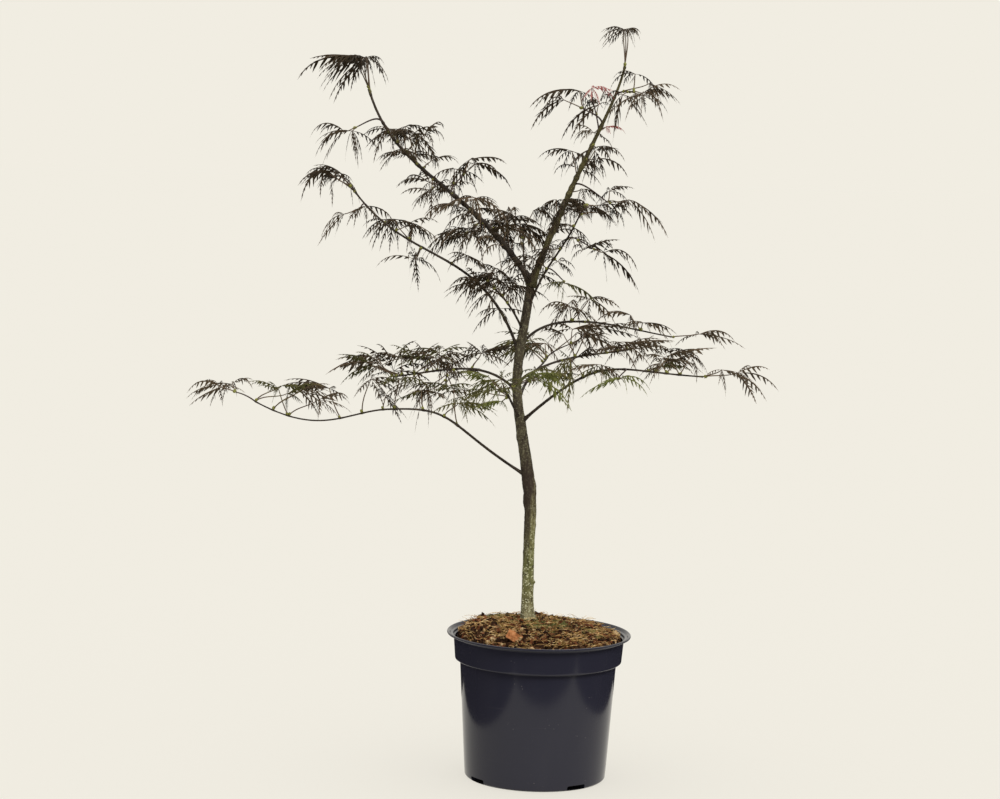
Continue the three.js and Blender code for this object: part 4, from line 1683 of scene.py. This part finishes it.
@dataclass
class Crown:
    """The twigs, leaf stalks, buds and finely cut leaves that grow on from the limbs."""

    trunk: Trunk
    leaf_ground: float = 270.0
    leaf_limits: tuple[int, int] = (1, 10)
    leaf_turn: float = 2.4
    spread: float = 0.80
    spread_chances: Pair = (0.8, 1.1)
    rise_chances: Pair = (0.3, 1.0)
    edge_fall: float = 0.3
    hub_reach: Pair = (0.55, 0.9)
    hub_edge: float = 0.85
    hub_depths: Pair = (0.25, 0.06)
    size_chances: tuple[Pair, ...] = ((0.62, 0.85), (0.9, 1.14))
    size_shares: Pair = (0.35, 0.65)
    lobe_counts: tuple[int, ...] = (5, 7, 9)
    count_shares: Triple = (0.38, 0.52, 0.1)
    lobe_turns: tuple[float, ...] = (0.0, 30.0, -31.0, 60.0, -62.0, 94.0, -97.0, 132.0, -135.0)
    lobe_shares: tuple[float, ...] = (1.0, 0.97, 0.94, 0.86, 0.83, 0.68, 0.65, 0.45, 0.42)
    lobe_length: float = 66.0
    length_chances: Pair = (0.72, 1.1)
    turn_spread: float = 10.0
    lift_chances: Pair = (0.05, 0.12)
    tilt: float = 0.34
    tip_back: Pair = (-0.1, 0.35)
    least_lobe: float = 15.0
    usual_lobe: float = 62.0
    tooth_limits: Pair = (0.42, 1.12)
    tooth_chances: Pair = (0.92, 1.1)
    twists: Pair = (0.8, 1.2)
    folds: Pair = (0.5, 1.1)
    arch_parts: Triple = (0.34, 0.34, 0.36)
    arch_falls: Pair = (0.36, 1.5)
    arch_sway: float = 0.18
    fall_chances: Pair = (0.6, 2.0)
    stalk_limits: Pair = (7.0, 34.0)
    stalk_radii: Pair = (0.68, 0.46)
    stalk_ahead: float = 0.35
    stalk_rises: Pair = (0.15, 0.25)
    stalk_bends: Pair = (0.36, 0.33)
    stalk_wander: float = 0.03
    bud_ahead: float = 0.8
    bud_off: float = 0.9
    bud_sizes: Pair = (0.85, 1.3)
    bud_length: float = 3.1
    twig_from: float = 30.0
    twig_past: float = 0.9
    twig_goal: float = 0.45
    twig_reach: float = 0.66
    twig_wander: float = 0.05
    twig_rise: float = 0.07
    twig_bend: float = 0.3
    twig_foot: Triple = (0.8, 0.6, 0.3)  # least radius, and share of the limb's tip with what is added to it
    twig_tip: float = 0.6
    twig_nodes: float = 0.45
    shoot_limb: str = "right_leader"
    shoot_height: float = 667.0
    shoot_tip: Triple = (36.9, 12.0, 711.0)
    shoot_radii: Pair = (0.85, 0.5)
    young_size: float = 0.42
    short_stalk: Pair = (9.0, 28.0)
    between_sizes: Pair = (0.58, 0.86)
    between_wander: float = 0.02
    between_rise: Pair = (-0.5, 0.6)
    between_across: Pair = (0.5, 1.0)
    between_ahead: Pair = (-0.6, 0.7)
    between_lift: float = 0.4
    past_mass: Pair = (0.95, 1.45)
    below_mass: Pair = (0.8, 1.25)
    above_room: float = 1.5
    below_room: float = 2.0
    raised_depth: float = 2.0
    droops: tuple[Pair, ...] = ((440.0, 0.5), (530.0, 1.0))
    raised: dict[str, float] = field(default_factory=lambda: {"left_top": 0.6, "right_top": 0.3})
    small: dict[str, float] = field(default_factory=lambda: {"right_top": 0.56, "left_top": 1.12})
    patterns: int = 5
    green: tuple[str, ...] = ("front_left", "front_right", "front_hang", "front_bough", "low_right_under")
    olive: tuple[str, ...] = (
        "low_right", "low_right_bough", "low_left_bough", "mid_under", "mid_left", "mid_left_tip", "spur_low",
        "low_left", "mid_right", "back_left",
    )
    umber: tuple[str, ...] = (
        "shoulder", "shoulder_root", "shoulder_tip", "mid_right_out", "low_right_out", "low_right_tip",
        "left_inner", "mid_root", "low_left_tip", "right_far", "back_right", "arch_top",
    )
    new: tuple[str, ...] = ("right_in",)

    def __post_init__(self) -> None:
        """Sorts out an empty list for everything that grows, and grows it."""
        self.lobes: dict[Tint, list[Lobe]] = {tint: [] for tint in Tint}
        self.stalks: list[tuple[Array, float, float]] = []
        self.twigs: list[tuple[Array, float, float]] = []
        self.buds: list[tuple[Array, Array, float]] = []
        self.limb_nodes: dict[str, list[float]] = {limb.name: [] for limb in LIMBS}
        index = 0
        for limb in LIMBS:
            control = limb.control(self.trunk)
            for name, fullness in limb.carries.items():
                self.fill(Mass(name, limb, control), fullness, np.random.default_rng(SEED + 31 * index))
                index += 1
            self.leaves_between(limb, np.random.default_rng(SEED + 400 + len(limb.name) + index))
        self.young_shoot(np.random.default_rng(SEED + 5))
        lobes = sum(map(len, self.lobes.values()))
        LOG.info("crown: %d lobes, %d stalks, %d twigs", lobes, len(self.stalks), len(self.twigs))

    def fill(self, mass: Mass, fullness: float, rng: np.random.Generator) -> None:
        """Grows one mass.

        Args:
            mass: The mass.
            fullness: How many leaves it has for its size, where 1 is usual.
            rng: Its own source of chance.
        """
        ground = self.leaf_ground / fullness
        count = int(np.clip(round(mass.half[0] * mass.half[1] / ground), *self.leaf_limits))
        size = self.small.get(mass.name, 0.0)
        start = rng.uniform(0, math.tau)
        for k, node in enumerate(self.nodes(mass, count, rng)):
            turn = start + self.leaf_turn * k
            spread = self.spread * math.sqrt((k + 0.5) / count) * rng.uniform(*self.spread_chances)
            rise = rng.uniform(*self.rise_chances) * (1 - self.edge_fall * spread)
            off = np.array([spread * math.cos(turn), spread * math.sin(turn), rise])
            goal = mass.middle + mass.half * off
            hub = self.hub(mass, node, goal, rng)
            self.stalk(node, hub, rng)
            self.leaf(hub, goal - node.place, self.tint(mass.name, rng), rng, mass, size)
            if node.on_limb is not None:
                self.limb_nodes[mass.limb.name].append(node.on_limb)

    def leaves_between(self, limb: Limb, rng: np.random.Generator) -> None:
        """Grows the leaves that sit straight on a limb, on either side in turn.

        Args:
            limb: The limb.
            rng: The source of chance.
        """
        if not limb.between:
            return
        wander = rng.uniform(-self.between_wander, self.between_wander, limb.between)
        share = np.linspace(*limb.between_span, limb.between) + wander
        points, way = curve_at(limb.control(self.trunk)[None], share)
        for k in range(limb.between):
            node = Node(points[0][k], way[0][k], float(share[k]))
            across = unit(np.cross(node.way, UP)) * (-1) ** k
            rise = UP * (rng.uniform(*self.between_rise) + limb.lift)
            across = across * rng.uniform(*self.between_across)
            out = unit(across + node.way * rng.uniform(*self.between_ahead) + rise)
            hub = node.place + out * rng.uniform(*self.short_stalk) * (1 + self.between_lift * limb.lift)
            self.stalk(node, hub, rng)
            self.leaf(hub, out, self.tint(limb.name, rng), rng, size=rng.uniform(*self.between_sizes))
            self.limb_nodes[limb.name].append(node.on_limb)

    def hub(self, mass: Mass, node: Node, goal: Array, rng: np.random.Generator) -> Array:
        """Where a leaf's lobes meet: part of the way from its node to the middle of its own ground.

        Args:
            mass: The mass.
            node: The leaf's node.
            goal: The middle of its ground.
            rng: The source of chance.

        Returns:
            The place.
        """
        out = (goal - node.place) * UP + (goal - node.place) * LEVEL * rng.uniform(*self.hub_reach)
        span = float(np.linalg.norm(out))
        hub = node.place + unit(out) * float(np.clip(span, *self.stalk_limits))
        below, above = self.hub_depths
        low = mass.middle[2] - below * mass.half[2]
        hub[2] = np.clip(hub[2], low, mass.high[2] - above * mass.half[2])
        if mass.name in self.raised:
            hub[2] = max(hub[2], mass.high[2] - self.raised_depth)
            hub[:2] = node.place[:2] + self.raised[mass.name] * (hub - node.place)[:2]
        off = (hub - mass.middle)[:2] / mass.half[:2]
        away = float(np.hypot(*off))
        if away > self.hub_edge:
            hub[:2] = mass.middle[:2] + off * mass.half[:2] * self.hub_edge / away
        return hub

    def main_tint(self, name: str) -> Tint:
        """The colour of a mass's group, whose piece stands for the mass's node.

        The leaves have this colour or another, as MIXES says. The mass round the young red shoot is different:
        the shoot's piece stands for its node, and its own leaves are mixed as those of a bronze mass are.

        Args:
            name: The name of the mass, or of a limb with leaves of its own.

        Returns:
            The colour.
        """
        groups = {Tint.GREEN: self.green, Tint.OLIVE: self.olive, Tint.UMBER: self.umber, Tint.NEW: self.new}
        return next((tint for tint, names in groups.items() if name in names), Tint.BRONZE)

    def tint(self, name: str, rng: np.random.Generator) -> Tint:
        """The colour of one leaf.

        Args:
            name: The name of its mass or limb.
            rng: The source of chance.

        Returns:
            The colour. Leaves of the newest growth only stand on the young shoot.
        """
        main = self.main_tint(name)
        usual = Tint.BRONZE if main is Tint.NEW else main
        share, other = MIXES[usual]
        return usual if rng.random() < share else other

    def nodes(self, mass: Mass, count: int, rng: np.random.Generator) -> list[Node]:
        """The nodes that a mass's leaves spring from, in pairs where they can.

        Args:
            mass: The mass.
            count: How many leaves it has.
            rng: The source of chance.

        Returns:
            A node for each leaf, on its limb, or on a side twig where the limb is far off.
        """
        distance = float(np.linalg.norm((mass.middle - mass.root) / mass.half))
        apart = float(np.linalg.norm(mass.middle - mass.root))
        if apart < self.twig_from or distance < self.twig_past:
            return self.limb_places(mass, count)
        goal = mass.middle + UP * (self.twig_goal * mass.half[2])
        end = mass.root + (goal - mass.root) * self.twig_reach
        span = float(np.linalg.norm(end - mass.root))
        end = end + rng.normal(0, self.twig_wander, 3) * span
        rise = UP * (self.twig_rise * span)
        first = mass.root + mass.root_way * self.twig_bend * span + rise
        last = end - unit(end - mass.root) * self.twig_bend * span + rise
        least, share, extra = self.twig_foot
        foot = max(least, share * mass.limb.radii[1] + extra)
        control = np.array([mass.root, first, last, end])
        self.twigs.append((control, foot, self.twig_tip))
        self.limb_nodes[mass.limb.name].append(mass.root_share)
        shares = np.linspace(1.0, self.twig_nodes, (count + 1) // 2) if count > 2 else np.array([1.0])
        points, way = curve_at(control[None], shares)
        return [Node(points[0][k // 2], way[0][k // 2]) for k in range(count)]

    def limb_places(self, mass: Mass, count: int) -> list[Node]:
        """Nodes on the limb itself, where it passes the mass.

        Args:
            mass: The mass.
            count: How many leaves it has.

        Returns:
            A node for each leaf.
        """
        share = np.linspace(0.06, 1.0, 200)
        points, way = curve_at(mass.control[None], share)
        near = np.linalg.norm((points[0] - mass.middle) / (mass.half + 6.0), axis=1)
        inside = np.flatnonzero(near < max(0.9, near.min() + 0.12))
        pairs = (count + 1) // 2
        if inside[-1] == len(share) - 1:
            chosen = inside[np.linspace(len(inside) - 1, 0, pairs + 1).astype(int)[:-1]]
        else:
            chosen = inside[np.linspace(0, len(inside) - 1, pairs + 2).astype(int)[1:-1]]
        picks = [int(chosen[k // 2]) for k in range(count)]
        return [Node(points[0][i], way[0][i], float(share[i])) for i in picks]

    def stalk(self, node: Node, hub: Array, rng: np.random.Generator) -> None:
        """Grows a leaf's stalk from its node up to the leaf, with a bud in its axil.

        Args:
            node: The leaf's node.
            hub: Where its lobes meet.
            rng: The source of chance.
        """
        out = hub - node.place
        span = float(np.linalg.norm(out))
        rises, bends = self.stalk_rises, self.stalk_bends
        leaving = unit(out + self.stalk_ahead * span * node.way + rises[0] * span * UP)
        first = node.place + leaving * bends[0] * span
        wander = rng.normal(0, self.stalk_wander, 3) * span
        last = hub - unit(out + rises[1] * span * UP) * bends[1] * span + wander
        self.stalks.append((np.array([node.place, first, last, hub]), *self.stalk_radii))
        way = unit(out + self.bud_ahead * span * node.way)
        self.buds.append((node.place + self.bud_off * unit(out), way, rng.uniform(*self.bud_sizes)))

    def young_shoot(self, rng: np.random.Generator) -> None:
        """Grows the young red shoot beside the right leader, with two small leaves.

        Args:
            rng: The source of chance.
        """
        limb = next(limb for limb in LIMBS if limb.name == self.shoot_limb)
        points, way = curve_at(limb.control(self.trunk)[None], np.linspace(0.3, 1.0, 200))
        near = int(np.abs(points[0][:, 2] - self.shoot_height).argmin())
        node = Node(points[0][near], way[0][near])
        tip = np.array(self.shoot_tip)
        control = np.array([node.place, node.place + 12.0 * UP, tip - 14.0 * UP, tip])
        self.twigs.append((control, *self.shoot_radii))
        right = node.place + np.array([7.0, -2.0, 5.0])
        self.stalk(node, right, rng)
        for hub, out in ((tip, np.array([1.0, -0.4, 0.0])), (right, np.array([1.0, -0.1, 0.0]))):
            self.leaf(hub, out, Tint.NEW, rng, size=self.young_size)

    def leaf(
        self, hub: Array, out: Array, tint: Tint, rng: np.random.Generator,
        mass: Optional[Mass] = None, size: float = 0.0,
    ) -> None:
        """Grows one leaf: lobes that fan out from its hub in a tilted plane and arch over.

        Args:
            hub: Where its lobes meet.
            out: The way that it points.
            tint: Its colour.
            rng: The source of chance.
            mass: The mass that it helps to fill, if any.
            size: Its size, where 1 is usual. Left at nothing, chance picks one.
        """
        span = float(np.linalg.norm(out))
        forward = unit((out + rng.normal(0, min(2.0, 0.3 * span), 3)) * LEVEL)
        normal = unit(UP + rng.normal(0, self.tilt, 3) - forward * rng.uniform(*self.tip_back))
        forward = unit(forward - normal * np.dot(forward, normal))
        side = np.cross(normal, forward)
        if not size:
            sizes = [rng.uniform(*chances) for chances in self.size_chances]
            size = rng.choice(sizes, p=self.size_shares)
        lobes = rng.choice(self.lobe_counts, p=self.count_shares)
        droop = float(np.interp(hub[2], *zip(*self.droops)))
        for turn, share in list(zip(self.lobe_turns, self.lobe_shares))[:lobes]:
            angle = math.radians(turn + rng.normal(0, self.turn_spread))
            lift = normal * rng.normal(*self.lift_chances)
            way = unit(forward * math.cos(angle) + side * math.sin(angle) + lift)
            length = self.lobe_length * share * size * rng.uniform(*self.length_chances)
            arch = self.arch(way, length, droop, rng)
            control = self.fit(mass, hub, arch, rng) if mass else hub + arch
            self.lobe(control, normal, tint, rng)

    def arch(self, way: Array, length: float, droop: float, rng: np.random.Generator) -> Array:
        """A lobe's curve: it sets off in the leaf's plane and bends over.

        Args:
            way: The way that it sets off.
            length: Its length.
            droop: How strongly it bends, where 1 is usual.
            rng: The source of chance.

        Returns:
            The curve's control points, as offsets from the leaf's hub.
        """
        fall = droop * rng.uniform(*self.fall_chances)
        sway = np.cross(way, -UP) * rng.normal(0, self.arch_sway)
        parts, falls = self.arch_parts, self.arch_falls
        first = way * parts[0] * length
        second = first + unit(way + -UP * falls[0] * fall + sway) * parts[1] * length
        third = second + unit(way + -UP * falls[1] * fall + sway * 2.0) * parts[2] * length
        return np.array([np.zeros(3), first, second, third])

    def fit(self, mass: Mass, hub: Array, arch: Array, rng: np.random.Generator) -> Array:
        """Draws a lobe in until it lies in its mass, or a little outside it.

        Args:
            mass: The mass.
            hub: Where the lobe starts.
            arch: Its curve, as offsets from there.
            rng: The source of chance.

        Returns:
            The curve's control points.
        """
        level = float(np.hypot(*arch[3][:2]))
        azimuth = math.atan2(arch[3][1], arch[3][0])
        room = mass.reach(hub, azimuth) * rng.uniform(*self.past_mass)
        least = min(1.0, self.least_lobe / max(level, 1.0))
        arch[:, :2] *= np.clip(room / max(level, 1.0), least, 1.0)
        rise, fall = arch[:, 2].max(), -arch[:, 2].min()
        above = mass.high[2] + self.above_room - hub[2]
        below = (hub[2] - mass.low[2]) * rng.uniform(*self.below_mass) + self.below_room
        if rise > above > 0:
            arch[:, 2] = np.where(arch[:, 2] > 0, arch[:, 2] * above / rise, arch[:, 2])
        if fall > below > 0:
            arch[:, 2] = np.where(arch[:, 2] < 0, arch[:, 2] * below / fall, arch[:, 2])
        return hub + arch

    def lobe(self, control: Array, normal: Array, tint: Tint, rng: np.random.Generator) -> None:
        """Adds one lobe along its curve.

        Args:
            control: The curve's control points.
            normal: The leaf's upper side.
            tint: Its colour.
            rng: The source of chance.
        """
        length = float(np.linalg.norm(np.diff(control, axis=0), axis=1).sum())
        side = unit(np.cross(normal, control[1] - control[0]))
        scale = float(np.clip(length / self.usual_lobe, *self.tooth_limits))
        scale = scale * rng.uniform(*self.tooth_chances)
        twist, further = (rng.normal(0, spread) for spread in self.twists)
        fold = rng.uniform(*self.folds)
        pattern = int(rng.integers(self.patterns))
        self.lobes[tint].append(Lobe(control, side, scale, twist, further, fold, pattern))

    def build(self, rng: np.random.Generator) -> None:
        """Makes the grown parts into pieces.

        Args:
            rng: The source of chance for the leaf patterns.
        """
        templates = [LobePattern().template(rng) for _ in range(self.patterns)]
        nodes: dict[Tint, list[str]] = {tint: [] for tint in Tint}
        for name in (name for limb in LIMBS for name in limb.carries):
            nodes[self.main_tint(name)].append(f"foliage_{name}")
        for tint in Tint:
            slot, *tones = SKINS[tint]
            settle(self.leaf_piece(tint, templates, LeafSkin(*tones).make()), slot, *nodes[tint])
        self.rod_piece("side_twigs", self.twigs, 7, 14, bark("twig_bark"))
        self.rod_piece("leaf_stalks", self.stalks, 5, 7, bark("stalk_skin"))
        self.bud_piece(bark("bud_scales"))

    def leaf_piece(
        self, tint: Tint, templates: Sequence[Template], finish: bpy.types.Material
    ) -> bpy.types.Object:
        """All the lobes of one colour, joined.

        Args:
            tint: The colour.
            templates: The flat lobe patterns.
            finish: The leaves' material.

        Returns:
            The piece.
        """
        batch = Batch()
        for pattern, template in enumerate(templates):
            chosen = [lobe for lobe in self.lobes[tint] if lobe.pattern == pattern]
            if chosen:
                batch.stamp(template, self.bent(template, chosen), self.flat_map(template))
        return batch.piece(f"leaves_{tint.value}", finish, smooth=False)

    @staticmethod
    def flat_map(template: Template) -> Array:
        """A lobe's map: how far along it, and across it with its rib at 0.5."""
        return np.stack([template.points[:, 0], 0.5 + 0.08 * template.points[:, 1]], axis=1)

    @staticmethod
    def bent(template: Template, lobes: Sequence[Lobe]) -> Array:
        """A flat lobe laid along each lobe's curve, twisted and folded.

        Args:
            template: The flat lobe.
            lobes: The lobes.

        Returns:
            The places of its points in every lobe.
        """
        along, across = template.points[:, 0], template.points[:, 1]
        point, way = curve_at(np.stack([lobe.control for lobe in lobes]), along)
        side = np.stack([lobe.side for lobe in lobes])[:, None, :]
        side = unit(side - way * np.sum(side * way, axis=2, keepdims=True))
        normal = np.cross(way, side)
        numbers = np.array([(lobe.scale, lobe.twist, lobe.further, lobe.fold) for lobe in lobes])
        scale, first, further, fold = numbers.T[..., None]
        twist = first + further * along[None, :]
        side = side * np.cos(twist)[..., None] + normal * np.sin(twist)[..., None]
        off = across[None, :] * scale
        sag = np.abs(off) * np.sin(fold)
        return point + side * (off * np.cos(fold))[..., None] - UP * sag[..., None]

    @staticmethod
    def rod_piece(
        name: str, rods: Sequence[tuple[Array, float, float]], sides: int, steps: int,
        finish: bpy.types.Material,
    ) -> None:
        """Makes joined thin rods.

        Args:
            name: The piece's name.
            rods: Each rod's curve, and its radius at its foot and at its tip.
            sides: How many sides each has.
            steps: How many rings each has.
            finish: Their material.
        """
        control = np.stack([rod[0] for rod in rods])
        radii = np.array([rod[1:] for rod in rods])
        joined_piece(name, finish, "twig", *tubes(control, radii, sides, steps), smooth=True)

    def bud_piece(self, finish: bpy.types.Material) -> None:
        """Makes pointed buds in the leaves' axils.

        Args:
            finish: Their material.
        """
        feet, ways = (np.stack([bud[i] for bud in self.buds]) for i in (0, 1))
        size = np.array([bud[2] for bud in self.buds])[:, None]
        reach = ways * (self.bud_length * size)
        control = np.stack([feet, feet + reach / 3, feet + reach * 2 / 3, feet + reach], axis=1)
        template, points = tubes(control, np.ones((len(feet), 2)), 6, 6)
        share = template.points[:, 2]
        swell = 0.35 + 1.15 * np.sin(np.pi * np.clip(share * 0.92 + 0.05, 0, 1)) ** 0.9 - 0.30 * share
        centre, _ = curve_at(control, share)
        places = centre + (points - centre) * (swell[None, :] * size)[..., None]
        joined_piece("buds", finish, "twig", template, places, smooth=True)


# ---------------------------------------------------------------- studio


@dataclass
class Studio:
    """A pale floor, an even pale sky, soft suns and the camera."""

    cream: Colour = (0.8796, 0.8469, 0.7605)
    floor_radius: float = 30.0
    floor_drop: float = 0.0004
    suns: tuple[Four, ...] = (
        (305.0, 42.0, 2.6, 22.0), (215.0, 35.0, 0.6, 50.0), (85.0, 55.0, 0.9, 40.0),
    )  # azimuth and elevation, strength, and the angle that the sun fills, in degrees
    table: Four = (-0.245, 0.300, -0.325, 0.360)
    table_turn: float = 7.5
    room_reach: float = 2.6
    room_height: float = 3.0
    room_taper: float = 0.2
    room_ground: float = 0.002
    floor_glow: float = 0.72
    shade_radius: float = 71.0
    shade_drop: float = 0.15
    eye: Triple = (0.0, -2.75, 0.672)
    yaw: float = -0.984
    pitch: float = 5.83
    roll: float = 1.66
    lens: float = 97.056
    sensor: float = 36.0
    sight: float = 200.0

    def camera(self) -> None:
        """The camera at the plant's front, level with its middle and tipped slightly down."""
        yaw, pitch, roll = (math.radians(a) for a in (self.yaw, self.pitch, self.roll))
        ahead = Vector((math.sin(yaw) * math.cos(pitch), math.cos(yaw) * math.cos(pitch), -math.sin(pitch)))
        right = ahead.cross(Vector((0, 0, 1))).normalized()
        up = right.cross(ahead)
        across = right * math.cos(roll) + up * math.sin(roll)
        upward = up * math.cos(roll) - right * math.sin(roll)
        data = bpy.data.cameras.new("camera")
        data.lens, data.sensor_width, data.sensor_fit = self.lens, self.sensor, "HORIZONTAL"
        data.clip_end = self.sight
        eye = bpy.data.objects.new("camera", data)
        turn = Matrix((across, upward, -ahead)).transposed().to_4x4()
        eye.matrix_world = Matrix.Translation(self.eye) @ turn
        bpy.context.scene.collection.objects.link(eye)
        bpy.context.scene.camera = eye

    def light(self, shaded: bpy.types.Object) -> None:
        """The sky, and the suns, which leave the floor out so that it stays even.

        Args:
            shaded: The floor.
        """
        world = bpy.data.worlds.new("sky")
        world.use_nodes = True
        sky = world.node_tree.nodes["Background"]
        sky.inputs["Color"].default_value = (*self.cream, 1.0)
        bpy.context.scene.world = world
        left_out = bpy.data.collections.new("not_sunlit")
        left_out.objects.link(shaded)
        left_out.collection_objects[0].light_linking.link_state = "EXCLUDE"
        for i, (azimuth, elevation, strength, width) in enumerate(self.suns):
            data = bpy.data.lights.new(f"sun_{i}", "SUN")
            data.energy, data.angle = strength, math.radians(width)
            sun = bpy.data.objects.new(f"sun_{i}", data)
            turn = Vector(heading(azimuth, elevation)).to_track_quat("Z", "Y")
            sun.matrix_world = turn.to_matrix().to_4x4()
            sun.light_linking.receiver_collection = left_out
            bpy.context.scene.collection.objects.link(sun)

    @staticmethod
    def disc(finish: Dull, radius: float, drop: float, sides: int) -> bpy.types.Object:
        """Lays a level disc round Z.

        Args:
            finish: Its finish, which it has its name from.
            radius: Its radius.
            drop: How far it lies below the ground.
            sides: How many sides it has.

        Returns:
            The disc.
        """
        shape = bmesh.new()
        bmesh.ops.create_circle(shape, cap_ends=True, segments=sides, radius=radius)
        bmesh.ops.translate(shape, verts=shape.verts, vec=(0, 0, -drop))
        disc = shape_piece(finish.name, shape, finish.make(), smooth=False)
        return disc

    def floor(self) -> bpy.types.Object:
        """A wide level floor that takes on the sky's own tone, so that no line shows between them."""
        rest = 1.0 - self.floor_glow
        finish = Dull("floor", (rest * 0.99,) * 3, (rest,) * 3, 3.0, 0.02, self.floor_glow, self.cream)
        return self.disc(finish, self.floor_radius / MM, self.floor_drop / MM, 128)

    def shade(self) -> None:
        """The shaded ground that shows through the pot's drain notches."""
        finish = Dull("pot_shade", (0.010, 0.010, 0.012), (0.016, 0.016, 0.018), 60.0)
        self.disc(finish, self.shade_radius, self.shade_drop, 96)

    def room(self) -> None:
        """The unlit room round the table and before it, which only reflections see."""
        finish = Dull("dark_room", (0.008, 0.008, 0.012), (0.014, 0.013, 0.018), 2.0).make()
        left, right, front, back = self.table
        across = (-self.room_reach, left, right, self.room_reach)
        along = (-self.room_reach, front, back, self.room_reach)
        shape = bmesh.new()
        bmesh.ops.create_grid(shape, x_segments=3, y_segments=3, size=1.5)
        bmesh.ops.delete(
            shape, geom=[f for f in shape.faces if f.calc_center_median().length < 0.5], context="FACES"
        )
        for vert in shape.verts:
            i, j = int(round(vert.co.x + 1.5)), int(round(vert.co.y + 1.5))
            vert.co = Vector((across[i], along[j], self.room_ground))
        turn = Matrix.Rotation(math.radians(self.table_turn), 3, "Z")
        bmesh.ops.rotate(shape, verts=shape.verts, cent=(0, 0, 0), matrix=turn)
        wall = bmesh.ops.create_cone(
            shape, cap_ends=False, segments=64, radius1=self.room_reach,
            radius2=self.room_reach * self.room_taper, depth=self.room_height,
        )["verts"]
        bmesh.ops.translate(shape, verts=wall, vec=(0, 0, self.room_height / 2))
        middles = [(face, face.calc_center_median()) for face in shape.faces]
        behind = [face for face, middle in middles if middle.z > 0.5 and middle.y > -0.1]
        bmesh.ops.delete(shape, geom=behind, context="FACES")
        bmesh.ops.scale(shape, verts=shape.verts, vec=(1 / MM, 1 / MM, 1 / MM))
        room = shape_piece("dark_room", shape, finish, smooth=False)
        room.visible_camera = room.visible_diffuse = room.visible_shadow = False
        room.visible_transmission = room.visible_volume_scatter = False

    def build(self) -> None:
        """The whole stage."""
        self.camera()
        self.light(self.floor())
        self.shade()
        self.room()


def write_sizes() -> None:
    """Brings the view layer up to date."""
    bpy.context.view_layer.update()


def main() -> None:
    """Builds the stage and the plant, in order."""
    logging.basicConfig(level=logging.INFO, format="%(name)s: %(message)s")
    bpy.context.scene.view_settings.view_transform = "Standard"
    Studio().build()
    Pot().build(PotPlastic().make())
    Compost().build()
    trunk = Trunk()
    trunk.build(TrunkBark().make())
    crown = Crown(trunk)
    Boughs(trunk).build(crown.limb_nodes)
    crown.build(np.random.default_rng(SEED + 2))
    write_sizes()


if __name__ == "__main__":
    main()
